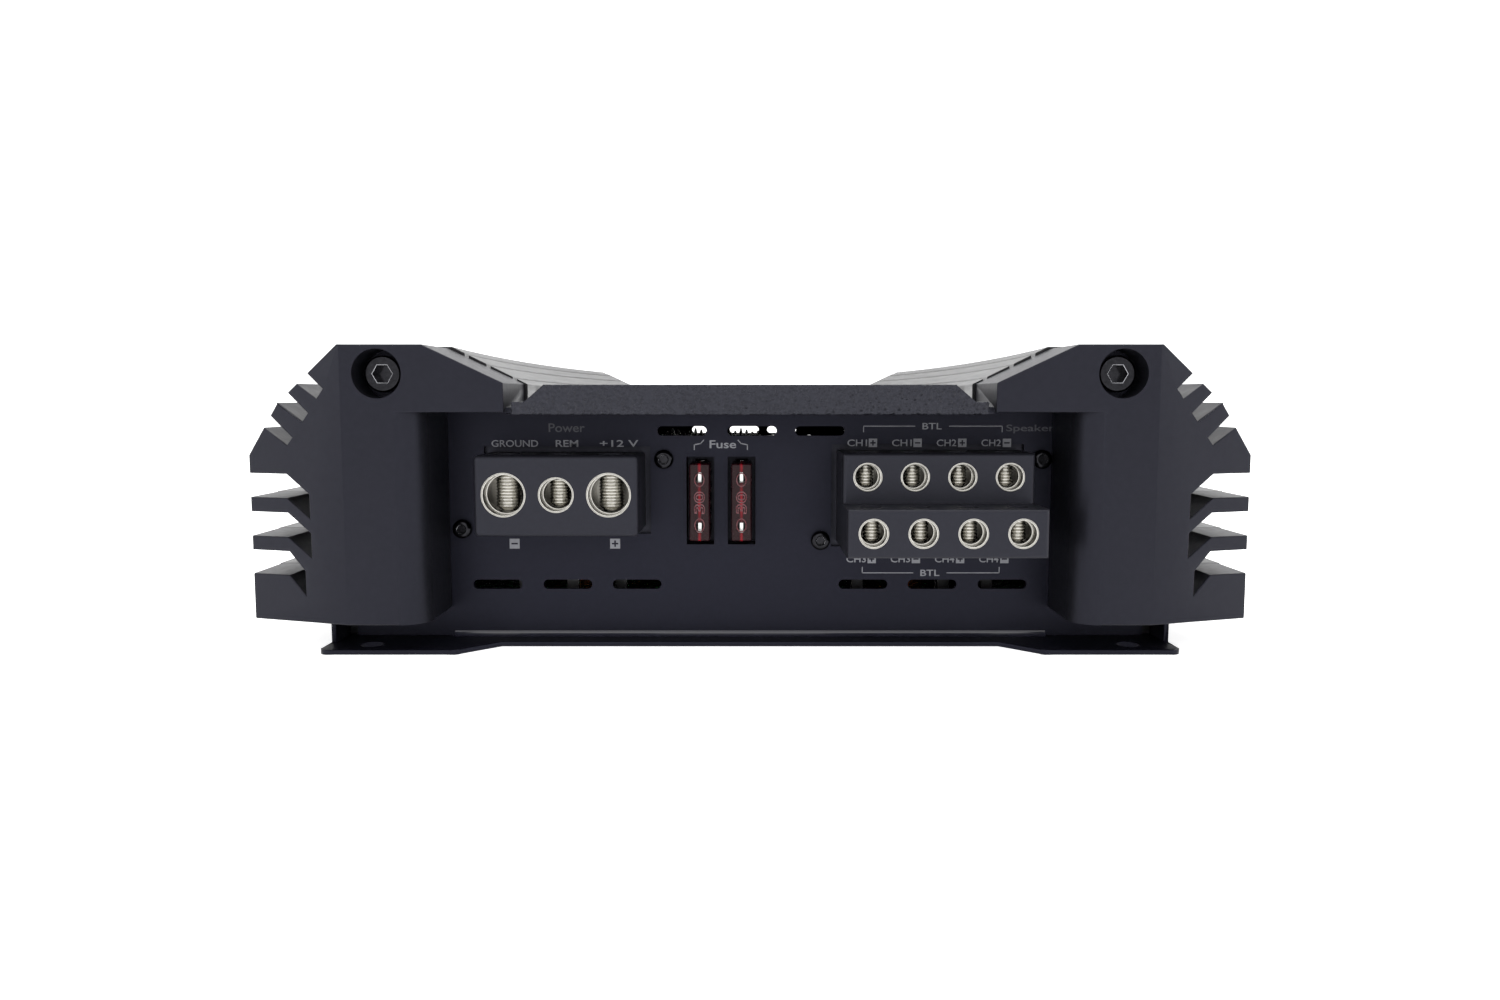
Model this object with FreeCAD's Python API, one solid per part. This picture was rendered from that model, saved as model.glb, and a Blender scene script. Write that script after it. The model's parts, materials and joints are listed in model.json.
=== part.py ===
"""Four-channel car amplifier: a finned aluminium heatsink closed by a steel tray,
two steel panels and two cast end caps, with its board, terminals, fuses and controls.

X runs across the amplifier, Y along it and Z up. The origin is the centre of the
underside. The power and speaker terminals face -Y, the signal jacks face +Y.
All lengths are in millimetres.
"""
import FreeCAD, Part
import math
import os
from FreeCAD import Vector

# ---- driving dimensions: the whole case ----
HALF_LENGTH = 165.0          # to the front plane of each end cap
CAP_DEPTH = 24.0
SINK_HALF_LENGTH = HALF_LENGTH - CAP_DEPTH
HALF_WIDTH = 118.7           # over the heatsink's fins
TOP_Z = 73.6
CASE_BOTTOM_Z = 8.5          # underside of the fins and caps
SHOULDER_X = 94.0            # where the flat top ends
SHOULDER_BEND = (110.2, 60.2)    # where the two flats of the shoulder meet
SHOULDER_END_Z = 48.1
CAP_INSET = 0.5              # the caps stand this far inside the heatsink's outline
INNER_X = 91.0               # inner face of the heatsink's side walls
CLEAR = 0.05                 # screw shanks in their holes, on the radius

# ---- fins ----
ROOF_SLOTS = [(98.6, 62.0, 2.7), (102.6, 56.6, 2.35), (107.0, 50.95, 2.15)]  # root x, root z, width
ROOF_SLOT_ANGLE = 38.0
ROOF_SLOT_REACH = 15.0
ROOF_SLOT_FLARE = 2.2        # how much wider the slot is at its outer end
WALL_SLOTS = [(43.3, 37.7, 102.3), (34.2, 28.5, 102.2), (25.1, 19.5, 104.0)]  # top z, low z, root x
KNEE_X = 108.2
KNEE_DROP = 4.6

# ---- valley along the top, and the plate in it ----
VALLEY_FLOOR_Z = 58.0
VALLEY_FLOOR_THICK = 3.5
VALLEY_EDGE = (55.3, 64.4)       # foot of the sloping side at the heatsink's ends
VALLEY_TOP = (73.8, 73.6)        # head of the sloping side
VALLEY_SPLAY = 5.5               # degrees by which the sides open at the ends
GROOVE_X = [58.4, 64.9, 70.2]
GROOVE_WIDTH = 1.0
GROOVE_DEPTH = 1.6
PLATE_HALF = 54.4
PLATE_SLOPE_FOOT = (51.4, 60.1)
PLATE_SLOPE_HEAD = (46.9, 64.0)
PLATE_THICK = 1.8
PLATE_LIP_Z = 57.2
PLATE_LIP_THICK = 2.4

# ---- end caps ----
PORTAL_HALF = 75.0
PORTAL_TOP_Z = 57.7
PORTAL_FILLET = 6.5
BEAM_END_X = 56.1
CAP_SLOPE_TOP_X = 74.5
CHAMFER_X = 93.2
CHAMFER_BACK = 8.3
SADDLE_TOP_Z = 58.9
CAP_SCREW_X = 84.8
CAP_SCREW_Z = 66.5
COUNTERBORE_R = 5.65
COUNTERBORE_DEPTH = 9.4

# ---- panels ----
PANEL_BACK_Y = SINK_HALF_LENGTH
PANEL_THICK = 1.5
PANEL_FACE_Y = PANEL_BACK_Y + PANEL_THICK
PANEL_HALF = 99.0
PANEL_BOTTOM_Z = 1.3
PANEL_TOP_Z = 57.9
PANEL_SCREW_X = 95.5
PANEL_SCREW_ZS = [16.0, 45.5]
UPPER_VENTS = [-16.9, 0.5, 17.4]
LOWER_VENTS = [-63.4, -45.8, -28.4, 28.4, 45.8, 63.4]
UPPER_VENT_Z = 52.8
LOWER_VENT_Z = 14.3
VENT_LENGTH = 12.3
VENT_HEIGHT = 2.4
REAR_VENTS = [-16.0, 2.9, 22.0]
REAR_VENT_Z = 44.8
REAR_VENT_LENGTH = 14.7
REAR_VENT_HEIGHT = 3.4

# ---- base tray ----
BASE_HALF = 103.0
BASE_THICK = 1.2
BASE_WALL_TOP_Z = 8.3
BASE_FRONT_Y = HALF_LENGTH - 15.3
EAR_FRONT_Y = HALF_LENGTH - 6.5
EAR_INNER_X = 61.0
EAR_TAPER = 9.0
EAR_HOLE_X = 92.0
EAR_HOLE_Y = 152.5
EAR_HOLE_R = 2.75
BASE_SCREW_X = 95.8
BASE_SCREW_YS = [-126.0, -42.0, 42.0, 126.0]

# ---- terminals ----
WIRE_ROW_Z = 38.3
POWER_CENTRE_X = -45.5
POWER_HALF = 19.3
POWER_Z = (28.5, 47.6)
POWER_REACH = 16.9
POWER_PITCH = 12.35
POWER_BORE_R = 4.8
REMOTE_BORE_R = 3.75
SPEAKER_CENTRE_X = 44.2
SPEAKER_HALF = 22.5
SPEAKER_PITCH = 11.1
SPEAKER_BORE_R = 2.95
UPPER_TIER = (36.3, 48.1)
UPPER_TIER_REACH = 17.1
UPPER_ROW_Z = 42.5
LOWER_TIER = (25.3, 36.3)
LOWER_TIER_REACH = 30.7
LOWER_ROW_Z = 30.9
INSERT_WALL = 0.5            # metal round a wire bore, at the nose
GUIDE_LENGTH = 3.4           # full-size mouth of a wire bore, in front of the set screw
CHAMBER_STEP = 0.25          # how much smaller the rest of the bore is, on the radius
FLANGE_THICK = 3.0
SET_SCREW_TIP = 0.62         # radius of a set screw's flat tip, as a part of its own radius
SET_SCREW_PITCH = 0.75
TIP_GAP = 0.06               # between that tip's rim and the floor of its bore

# ---- fuses ----
FUSE_XS = [-12.4, -2.1]
FUSE_Z = 35.4
FUSE_WINDOW = (3.45, 11.0)
FUSE_HALF_HEIGHT = 9.55
FUSE_HALF_THICK = 2.5
FUSE_PROUD = 5.0
FUSE_BODY_DEPTH = 12.3
BLADE_PITCH = 14.0
BLADE_WIDTH = 5.1
BLADE_THICK = 0.8
BLADE_LENGTH = 6.8

# ---- board ----
BOARD_Z = 9.0
BOARD_THICK = 1.6
BOARD_TOP_Z = BOARD_Z + BOARD_THICK
BOARD_HALF_X = 89.0
BOARD_HALF_Y = 136.0
STANDOFF_XS = [-60.0, 60.0]
STANDOFF_YS = [-115.0, 0.0, 115.0]

# ---- signal end ----
JACK_XS = [26.0, 42.0, 58.0]
JACK_ZS = [20.5, 36.5]
JACK_R = 4.15
JACK_ROOT_R = 3.85           # the shell inside its housing
JACK_WALL = 0.55
JACK_REACH = 9.0
JACK_COLLAR = 0.6            # how far the housing's collar stands in front of the panel
KNOB_XS = [-66.0, -48.0, -30.0, -12.0]
KNOB_Z = 37.0
KNOB_R = 4.6
KNOB_REACH = 5.5
SWITCH_XS = [-57.0, -21.0]
SWITCH_Z = 20.0
SWITCH_TRAVEL = 2.0
LED_XS = [1.5, 8.5]
LED_Z = 29.0


# ---- small helpers ----
def box(x0, x1, y0, y1, z0, z1):
    return Part.makeBox(x1 - x0, y1 - y0, z1 - z0, Vector(x0, y0, z0))


def rod_y(x, y, z, radius, length):
    """A cylinder that starts at (x, y, z) and runs towards +Y."""
    return Part.makeCylinder(radius, length, Vector(x, y, z), Vector(0, 1, 0))


def rod_z(x, y, z, radius, length):
    return Part.makeCylinder(radius, length, Vector(x, y, z))


def prism_y(points, y0, y1):
    """An outline in X and Z, extruded from y0 to y1."""
    corners = [Vector(x, y0, z) for x, z in points]
    wire = Part.makePolygon(corners + corners[:1])
    return Part.Face(wire).extrude(Vector(0, y1 - y0, 0))


def prism_z(points, z0, z1):
    """An outline in X and Y, extruded from z0 to z1."""
    corners = [Vector(x, y, z0) for x, y in points]
    wire = Part.makePolygon(corners + corners[:1])
    return Part.Face(wire).extrude(Vector(0, 0, z1 - z0))


def hexagon_rod(radius, length, base, direction):
    """A hexagon across flats of twice the radius, for a socket."""
    corner = radius / math.cos(math.radians(30))
    points = [Vector(corner * math.cos(k * math.pi / 3), corner * math.sin(k * math.pi / 3), 0)
              for k in range(7)]
    tool = Part.Face(Part.makePolygon(points)).extrude(Vector(0, 0, length))
    turn = FreeCAD.Rotation(Vector(0, 0, 1), direction)
    tool.Placement = FreeCAD.Placement(base, turn)
    return tool


def mirror_x(shape):
    return shape.mirror(Vector(0, 0, 0), Vector(1, 0, 0))


def mirror_y(shape):
    return shape.mirror(Vector(0, 0, 0), Vector(0, 1, 0))


def both_sides(shapes):
    return shapes + [mirror_x(shape) for shape in shapes]


def both_ends(shapes):
    return shapes + [mirror_y(shape) for shape in shapes]


def cut(shape, tools):
    return shape.cut(tools).removeSplitter()


def fuse(shapes):
    return shapes[0].fuse(shapes[1:]).removeSplitter()


def soften(shape, radius, wanted):
    """Round the edges that wanted() picks."""
    edges = [edge for edge in shape.Edges if wanted(edge)]
    return shape.makeFillet(radius, edges)


def along(edge, axis):
    """Whether a straight edge runs along 'x', 'y' or 'z'."""
    if edge.Curve.TypeId != "Part::GeomLine":
        return False
    direction = edge.Curve.Direction
    return abs(getattr(direction, axis)) > 0.999


def save(node, shapes):
    """Write one node, which is a list of separate solids."""
    shape = shapes[0] if len(shapes) == 1 else Part.makeCompound(shapes)
    shape.exportStep("parts/" + node + ".step")
    for solid in shape.Solids:
        if not solid.isValid() or solid.Volume <= 0:
            raise ValueError(node + " holds a bad solid")
    print(node, len(shape.Solids), "solid(s)", round(shape.Volume / 1000, 2), "cm3")


# ---- fasteners ----
def pan_screw_y(x, y, z, head_r, shank_r, length, head_height=2.0):
    """A socket button screw whose head rises from (x, y, z) towards -Y."""
    head = rod_y(x, y - head_height, z, head_r, head_height)
    head = head.makeFillet(head_height * 0.55, [head.Edges[2]] if head.Edges[2].CenterOfMass.y < y - 1
                           else [head.Edges[0]])
    screw = head.fuse(rod_y(x, y, z, shank_r, length))
    socket = hexagon_rod(head_r * 0.42, head_height * 0.75, Vector(x, y - head_height, z), Vector(0, 1, 0))
    return cut(screw, [socket])


def cap_screw(x):
    """An M5 socket-head cap screw, its head face looking to -Y."""
    face_y = -HALF_LENGTH + 4.2
    head_r, head_height, shank_r, length = 4.25, 5.0, 2.5, 32.0
    head = rod_y(x, face_y, CAP_SCREW_Z, head_r, head_height)
    head = soften(head, 0.5, lambda edge: edge.CenterOfMass.y < face_y + 0.1 and edge.Length > 10)
    shank = rod_y(x, face_y + head_height, CAP_SCREW_Z, shank_r, length)
    socket = hexagon_rod(2.0, 2.8, Vector(x, face_y, CAP_SCREW_Z), Vector(0, 1, 0))
    return cut(head.fuse(shank), [socket])


def set_screw(x, y, z, radius, length, pitch):
    """A threaded set screw that stands on z: rings stand in for its helix."""
    groove = pitch * 0.45
    tip = radius * SET_SCREW_TIP
    points = [Vector(0, 0, 0), Vector(tip, 0, 0), Vector(radius - groove, 0, radius - groove - tip)]
    level = points[-1].z
    turns = int((length - level - 0.4) / pitch)
    for turn in range(turns):
        points.append(Vector(radius, 0, level + pitch * 0.40))
        points.append(Vector(radius, 0, level + pitch * 0.60))
        points.append(Vector(radius - groove, 0, level + pitch))
        level += pitch
    points.append(Vector(radius - groove, 0, length))
    points.append(Vector(0, 0, length))
    outline = Part.Face(Part.makePolygon(points + points[:1]))
    screw = outline.revolve(Vector(0, 0, 0), Vector(0, 0, 1), 360)
    screw.translate(Vector(x, y, z))
    socket = hexagon_rod(radius * 0.5, radius * 1.1, Vector(x, y, z + length), Vector(0, 0, -1))
    return cut(screw, [socket])


# ---- case ----
def case_outline(inset):
    """The outer section of heatsink and cap: flat top, shoulders of two flats, straight sides."""
    side, top = HALF_WIDTH - inset, TOP_Z - inset
    shoulder = SHOULDER_X - inset * 0.3
    bend = (SHOULDER_BEND[0] - inset * 0.7, SHOULDER_BEND[1] - inset * 0.7)
    low, end = CASE_BOTTOM_Z, SHOULDER_END_Z - inset

    right = [(side, low), (side, end), bend, (shoulder, top)]
    left = [(-x, z) for x, z in reversed(right)]
    corners = [Vector(x, 0, z) for x, z in right + left]
    return Part.Face(Part.makePolygon(corners + corners[:1]))


def fin_slots(y0, y1):
    """The tools that cut the slots between the fins, for one side."""
    angle = math.radians(ROOF_SLOT_ANGLE)
    out_x, out_z = math.cos(angle), math.sin(angle)
    tools = []
    for root_x, root_z, width in ROOF_SLOTS:
        mouth_x, mouth_z = root_x + out_x * ROOF_SLOT_REACH, root_z + out_z * ROOF_SLOT_REACH
        root, mouth = width / 2, (width + ROOF_SLOT_FLARE) / 2
        tools.append(prism_y([(root_x - out_z * root, root_z + out_x * root),
                              (mouth_x - out_z * mouth, mouth_z + out_x * mouth),
                              (mouth_x + out_z * mouth, mouth_z - out_x * mouth),
                              (root_x + out_z * root, root_z - out_x * root)], y0, y1))
    for top_z, low_z, root_x in WALL_SLOTS:
        tools.append(prism_y([(HALF_WIDTH + 2, top_z), (KNEE_X, top_z), (root_x, top_z - KNEE_DROP),
                              (root_x, low_z - KNEE_DROP), (KNEE_X, low_z),
                              (HALF_WIDTH + 2, low_z)], y0, y1))
    return both_sides(tools)


def valley_tools():
    """One side of the valley and its grooves, turned about a far upright axis so that they splay."""
    splay = math.radians(VALLEY_SPLAY)
    radius = SINK_HALF_LENGTH / math.sin(splay)
    bulge = radius * (1 - math.cos(splay))
    axis_x = VALLEY_EDGE[0] + bulge - radius
    slope = (VALLEY_TOP[1] - VALLEY_EDGE[1]) / (VALLEY_TOP[0] - VALLEY_EDGE[0])
    rise = 4.0
    past_middle = -2 * bulge
    trough = [(past_middle, VALLEY_FLOOR_Z), (VALLEY_EDGE[0], VALLEY_FLOOR_Z), VALLEY_EDGE,
              (VALLEY_TOP[0] + rise / slope, VALLEY_TOP[1] + rise), (past_middle, VALLEY_TOP[1] + rise)]
    outlines = [trough]
    for x in GROOVE_X:
        surface_z = VALLEY_EDGE[1] + (x - VALLEY_EDGE[0]) * slope
        half = GROOVE_WIDTH / 2
        outlines.append([(x - half, surface_z - GROOVE_DEPTH), (x + half, surface_z - GROOVE_DEPTH),
                         (x + half, surface_z + 2), (x - half, surface_z + 2)])
    tools = []
    sweep = VALLEY_SPLAY * 1.2
    for outline in outlines:
        corners = [Vector(x + bulge, 0, z) for x, z in outline]
        face = Part.Face(Part.makePolygon(corners + corners[:1]))
        axis = Vector(axis_x, 0, 0)
        face.rotate(axis, Vector(0, 0, 1), -sweep)
        tools.append(face.revolve(axis, Vector(0, 0, 1), 2 * sweep))
    return both_sides(tools)


def cap_screw_holes(radius, y0, y1):
    return both_sides([rod_y(CAP_SCREW_X, y0, CAP_SCREW_Z, radius, y1 - y0)])


def panel_screw_places():
    return [(side * PANEL_SCREW_X, z) for side in (-1, 1) for z in PANEL_SCREW_ZS]


def heatsink():
    length = SINK_HALF_LENGTH
    shell = case_outline(0).extrude(Vector(0, 2 * length, 0))
    shell.translate(Vector(0, -length, 0))
    feet = both_sides([box(INNER_X, BASE_HALF - BASE_THICK - 0.2, -length, length,
                           BASE_THICK + 0.05, CASE_BOTTOM_Z + 2)])
    shell = fuse([shell] + feet)
    low_ceiling = VALLEY_FLOOR_Z - VALLEY_FLOOR_THICK
    high_ceiling = VALLEY_FLOOR_Z + 0.5
    half_room = [(INNER_X, 0), (INNER_X, 50.0), (84.0, high_ceiling), (70.0, high_ceiling), (66.0, low_ceiling)]
    room = half_room + [(-x, z) for x, z in reversed(half_room)]
    tools = [prism_y(room, -length - 1, length + 1)]
    tools += fin_slots(-length - 1, length + 1) + valley_tools()
    tools += cap_screw_holes(2.5 + CLEAR, -length - 1, -length + 22)
    tools += cap_screw_holes(2.5 + CLEAR, length - 22, length + 1)
    tools += both_ends([rod_y(x, -length - 1, z, 1.5 + CLEAR, 11) for x, z in panel_screw_places()])
    tools += both_sides([rod_z(BASE_SCREW_X, y, 0, 1.5 + CLEAR, 9.5) for y in BASE_SCREW_YS])
    tools += clamp_screw_holes()
    tools += [rod_z(x, y, 50, 1.6, 9) for x, y in plate_screw_places()]
    return cut(shell, tools)


def front_end_cap():
    """A cast portal: two finned columns, two beams and a thin saddle under the top plate."""
    front, back = -HALF_LENGTH, -HALF_LENGTH + CAP_DEPTH
    block = case_outline(CAP_INSET).extrude(Vector(0, CAP_DEPTH, 0))
    block.translate(Vector(0, front, 0))
    top = TOP_Z - CAP_INSET
    trough = prism_y([(-BEAM_END_X, SADDLE_TOP_Z), (BEAM_END_X, SADDLE_TOP_Z), (BEAM_END_X, VALLEY_EDGE[1]),
                      (CAP_SLOPE_TOP_X, top), (CAP_SLOPE_TOP_X, top + 2), (-CAP_SLOPE_TOP_X, top + 2),
                      (-CAP_SLOPE_TOP_X, top), (-BEAM_END_X, VALLEY_EDGE[1])], front - 1, back + 1)
    portal = box(-PORTAL_HALF, PORTAL_HALF, front - 1, back + 1, 0, PLATE_LIP_Z)
    portal_sides = both_sides([box(BEAM_END_X, PORTAL_HALF, front - 1, back + 1, 0, PORTAL_TOP_Z)])
    lip_room = box(-BEAM_END_X, BEAM_END_X, front - 1, front + PLATE_LIP_THICK + 0.3, 0, top)
    chamfer = both_sides([prism_z([(CHAMFER_X, front), (CHAMFER_X, front - 5), (HALF_WIDTH + 5, front - 5),
                                   (HALF_WIDTH + 5, front + CHAMFER_BACK * 1.2),
                                   (HALF_WIDTH, front + CHAMFER_BACK)], 0, TOP_Z + 5)])
    rebate = box(-PANEL_HALF - 0.4, PANEL_HALF + 0.4, -PANEL_FACE_Y, back + 1, 0, PANEL_TOP_Z + 0.2)
    head_rooms = [rod_y(x, -PANEL_FACE_Y - 2.6, z, 3.3, 3) for x, z in panel_screw_places()]
    cap = cut(block, [trough, portal, lip_room] + portal_sides + chamfer)
    cap = soften(cap, PORTAL_FILLET, lambda edge: along(edge, "z") and abs(edge.CenterOfMass.y - front) < 0.1
                 and abs(abs(edge.CenterOfMass.x) - PORTAL_HALF) < 0.1)
    tools = fin_slots(front - 1, back + 1) + [rebate] + head_rooms
    tools += cap_screw_holes(COUNTERBORE_R, front - 1, front + COUNTERBORE_DEPTH)
    tools += cap_screw_holes(2.75, front, back + 1)
    return cut(cap, tools)


def top_plate():
    """The plate in the valley: a shallow hat section with a lip over each cap's saddle."""
    foot, head = PLATE_SLOPE_FOOT, PLATE_SLOPE_HEAD
    outer = [(PLATE_HALF, VALLEY_FLOOR_Z), (PLATE_HALF, foot[1]), foot, head]
    inner = [(PLATE_SLOPE_HEAD[0] - 1.2, head[1] - PLATE_THICK), (foot[0] - 2.4, VALLEY_FLOOR_Z)]
    section = outer + [(-x, z) for x, z in reversed(outer)]
    section += [(-x, z) for x, z in reversed(inner)] + inner
    plate = prism_y(section, -HALF_LENGTH, HALF_LENGTH)
    lip_section = [(PLATE_HALF, PLATE_LIP_Z), (PLATE_HALF, foot[1]), foot, head]
    lip = prism_y(lip_section + [(-x, z) for x, z in reversed(lip_section)],
                  -HALF_LENGTH, -HALF_LENGTH + PLATE_LIP_THICK)
    bosses = [rod_z(x, y, VALLEY_FLOOR_Z, 4.0, PLATE_SLOPE_HEAD[1] - VALLEY_FLOOR_Z - 1)
              for x, y in plate_screw_places()]
    plate = fuse([plate, lip, mirror_y(lip)] + bosses)
    saddle_room = box(-PLATE_HALF - 1, PLATE_HALF + 1, -HALF_LENGTH + PLATE_LIP_THICK,
                      -SINK_HALF_LENGTH + 0.2, VALLEY_FLOOR_Z - 1, SADDLE_TOP_Z + 0.05)
    tools = both_ends([saddle_room])
    tools += [rod_z(x, y, VALLEY_FLOOR_Z - 1, 1.25 + CLEAR, 5) for x, y in plate_screw_places()]
    plate = cut(plate, tools)
    return soften(plate, 0.5, lambda edge: along(edge, "y") and edge.CenterOfMass.z > foot[1] - 0.1
                  and edge.Length > HALF_LENGTH)


def plate_screw_places():
    return [(x, y) for x in (-38.0, 38.0) for y in (-105.0, 105.0)]


def plate_screws():
    """Screws that go up from inside, through the valley floor, into the plate's bosses."""
    head_top = VALLEY_FLOOR_Z - VALLEY_FLOOR_THICK
    return [rod_z(x, y, head_top - 1.8, 2.5, 1.8).fuse(rod_z(x, y, head_top, 1.25, 7.0)).removeSplitter()
            for x, y in plate_screw_places()]


def base_tray():
    """A folded steel tray with two mounting ears at each end."""
    end_half = [(0, BASE_FRONT_Y), (EAR_INNER_X, BASE_FRONT_Y), (EAR_INNER_X + EAR_TAPER, EAR_FRONT_Y),
                (BASE_HALF, EAR_FRONT_Y)]
    quarter = end_half[1:]
    outline = quarter + [(x, -y) for x, y in reversed(quarter)]
    outline += [(-x, -y) for x, y in quarter] + [(-x, y) for x, y in reversed(quarter)]
    floor = prism_z(outline, 0, BASE_THICK)
    floor = soften(floor, 2.5, lambda edge: along(edge, "z") and abs(abs(edge.CenterOfMass.y) - EAR_FRONT_Y) < 0.1)
    walls = both_sides([box(BASE_HALF - BASE_THICK, BASE_HALF, -BASE_FRONT_Y, BASE_FRONT_Y,
                            BASE_THICK / 2, BASE_WALL_TOP_Z)])
    tray = fuse([floor] + walls)
    ear_holes = [rod_z(x, y, -1, EAR_HOLE_R, 4) for x in (-EAR_HOLE_X, EAR_HOLE_X)
                 for y in (-EAR_HOLE_Y, EAR_HOLE_Y)]
    screw_holes = both_sides([Part.makeCone(3.1, 1.6, BASE_THICK, Vector(BASE_SCREW_X, y, 0))
                              for y in BASE_SCREW_YS])
    board_holes = [Part.makeCone(3.1, 1.6, BASE_THICK, Vector(x, y, 0)) for x in STANDOFF_XS for y in STANDOFF_YS]
    return cut(tray, ear_holes + screw_holes + board_holes)


def countersunk_screw(x, y, length):
    """A flat-head screw from below, its head flush with the underside."""
    head = Part.makeCone(3.0, 1.5, BASE_THICK, Vector(x, y, 0.05))
    screw = head.fuse(rod_z(x, y, 0.05 + BASE_THICK * 0.5, 1.5, length))
    socket = hexagon_rod(1.0, 0.8, Vector(x, y, 0.05), Vector(0, 0, 1))
    return cut(screw, [socket])


def base_screws():
    return [countersunk_screw(side * BASE_SCREW_X, y, 8.0) for side in (-1, 1) for y in BASE_SCREW_YS]


def plain_panel():
    return box(-PANEL_HALF, PANEL_HALF, -PANEL_FACE_Y, -PANEL_BACK_Y, PANEL_BOTTOM_Z, PANEL_TOP_Z)


def vent(x, z, length=VENT_LENGTH, height=VENT_HEIGHT):
    """A round-ended slot through a panel that faces -Y."""
    reach = length / 2 - height / 2
    y0, y1 = -PANEL_FACE_Y - 1, -PANEL_BACK_Y + 1
    middle = box(x - reach, x + reach, y0, y1, z - height / 2, z + height / 2)
    ends = [rod_y(x + side * reach, y0, z, height / 2, y1 - y0) for side in (-1, 1)]
    return fuse([middle] + ends)


def front_panel():
    y0, y1 = -PANEL_FACE_Y - 1, -PANEL_BACK_Y + 1
    tools = [vent(x, UPPER_VENT_Z) for x in UPPER_VENTS] + [vent(x, LOWER_VENT_Z) for x in LOWER_VENTS]
    gap = 1.4
    tools.append(box(POWER_CENTRE_X - POWER_HALF - gap, POWER_CENTRE_X + POWER_HALF + gap, y0, y1,
                     POWER_Z[0] - gap, POWER_Z[1] + gap))
    tools.append(box(SPEAKER_CENTRE_X - SPEAKER_HALF - gap, SPEAKER_CENTRE_X + SPEAKER_HALF + gap, y0, y1,
                     LOWER_TIER[0] - gap, UPPER_TIER[1] + gap))
    half_x, half_z = FUSE_WINDOW
    tools += [box(x - half_x, x + half_x, y0, y1, FUSE_Z - half_z, FUSE_Z + half_z) for x in FUSE_XS]
    tools += [rod_y(x, y0, z, 1.6, 5) for x, z in panel_screw_places()]
    tools += [rod_y(x, y0, z, 1.6, 5) for x, z in POWER_BLOCK_SCREWS + SPEAKER_BLOCK_SCREWS]
    return cut(plain_panel(), tools)


def rear_panel():
    """Modelled facing -Y, as the front panel is, and turned to its end by turn_to_rear."""
    y0 = -PANEL_FACE_Y - 1
    tools = [vent(x, REAR_VENT_Z, REAR_VENT_LENGTH, REAR_VENT_HEIGHT) for x in REAR_VENTS]
    tools += [rod_y(x, y0, z, JACK_R + 1.2, 5) for x in JACK_XS for z in JACK_ZS]
    tools += [rod_y(x, y0, KNOB_Z, KNOB_R + 0.5, 5) for x in KNOB_XS]
    tools += [box(x - 4.6, x + 4.6, y0, y0 + 5, SWITCH_Z - 1.7, SWITCH_Z + 1.7) for x in SWITCH_XS]
    tools += [rod_y(x, y0, LED_Z, 1.55, 5) for x in LED_XS]
    tools += [rod_y(x, y0, z, 1.6, 5) for x, z in panel_screw_places() + [JACK_SCREW]]
    return cut(plain_panel(), tools)


def turn_to_rear(shape):
    """Half a turn about Z, which carries a piece from the front end to the rear end."""
    turned = shape.copy()
    turned.rotate(Vector(0, 0, 0), Vector(0, 0, 1), 180)
    return turned


def panel_screws():
    front = [pan_screw_y(x, -PANEL_FACE_Y, z, 2.75, 1.5, 9.0) for x, z in panel_screw_places()]
    return front + [turn_to_rear(screw) for screw in front]


# ---- terminals ----
POWER_BLOCK_SCREWS = [(-71.8, 28.4), (-21.4, 45.8)]
SPEAKER_BLOCK_SCREWS = [(17.6, 25.5), (72.5, 45.8)]
POWER_XS = [POWER_CENTRE_X - POWER_PITCH, POWER_CENTRE_X, POWER_CENTRE_X + POWER_PITCH]
POWER_BORES = [POWER_BORE_R, REMOTE_BORE_R, POWER_BORE_R]
SPEAKER_XS = [SPEAKER_CENTRE_X + (k - 1.5) * SPEAKER_PITCH for k in range(4)]
POWER_FACE_Y = -PANEL_FACE_Y - POWER_REACH
UPPER_FACE_Y = -PANEL_FACE_Y - UPPER_TIER_REACH
LOWER_FACE_Y = -PANEL_FACE_Y - LOWER_TIER_REACH
FLANGE_BACK_Y = -PANEL_BACK_Y + FLANGE_THICK
POWER_SCREW_DEPTH = 6.6       # from the block's face to the set screw's axis
SPEAKER_SCREW_DEPTH = 6.2
NOSE = 1.6                    # the round nose of an insert, before its square body
TAIL_THICK = 1.5
LOW_TAIL_GAP = 2.0            # from the flange to the tails of the lower row
HIGH_TAIL_GAP = 6.0


def insert_tools(x, face_y, z, bore_r, length, screw_r, top_z):
    """The hollow in a housing for one metal insert and the way in for its screwdriver."""
    body_r = bore_r + INSERT_WALL
    return [rod_y(x, face_y - 1, z, body_r, NOSE + 2),
            box(x - body_r, x + body_r, face_y + NOSE, face_y + length, z - body_r, insert_top(z, bore_r)),
            rod_z(x, face_y + screw_depth(bore_r), z, screw_r + 0.4, top_z - z + 1)]


def insert_top(z, bore_r):
    return z + bore_r + (2.2 if bore_r > SPEAKER_BORE_R else 1.2)


def screw_depth(bore_r):
    return POWER_SCREW_DEPTH if bore_r > SPEAKER_BORE_R else SPEAKER_SCREW_DEPTH


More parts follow.
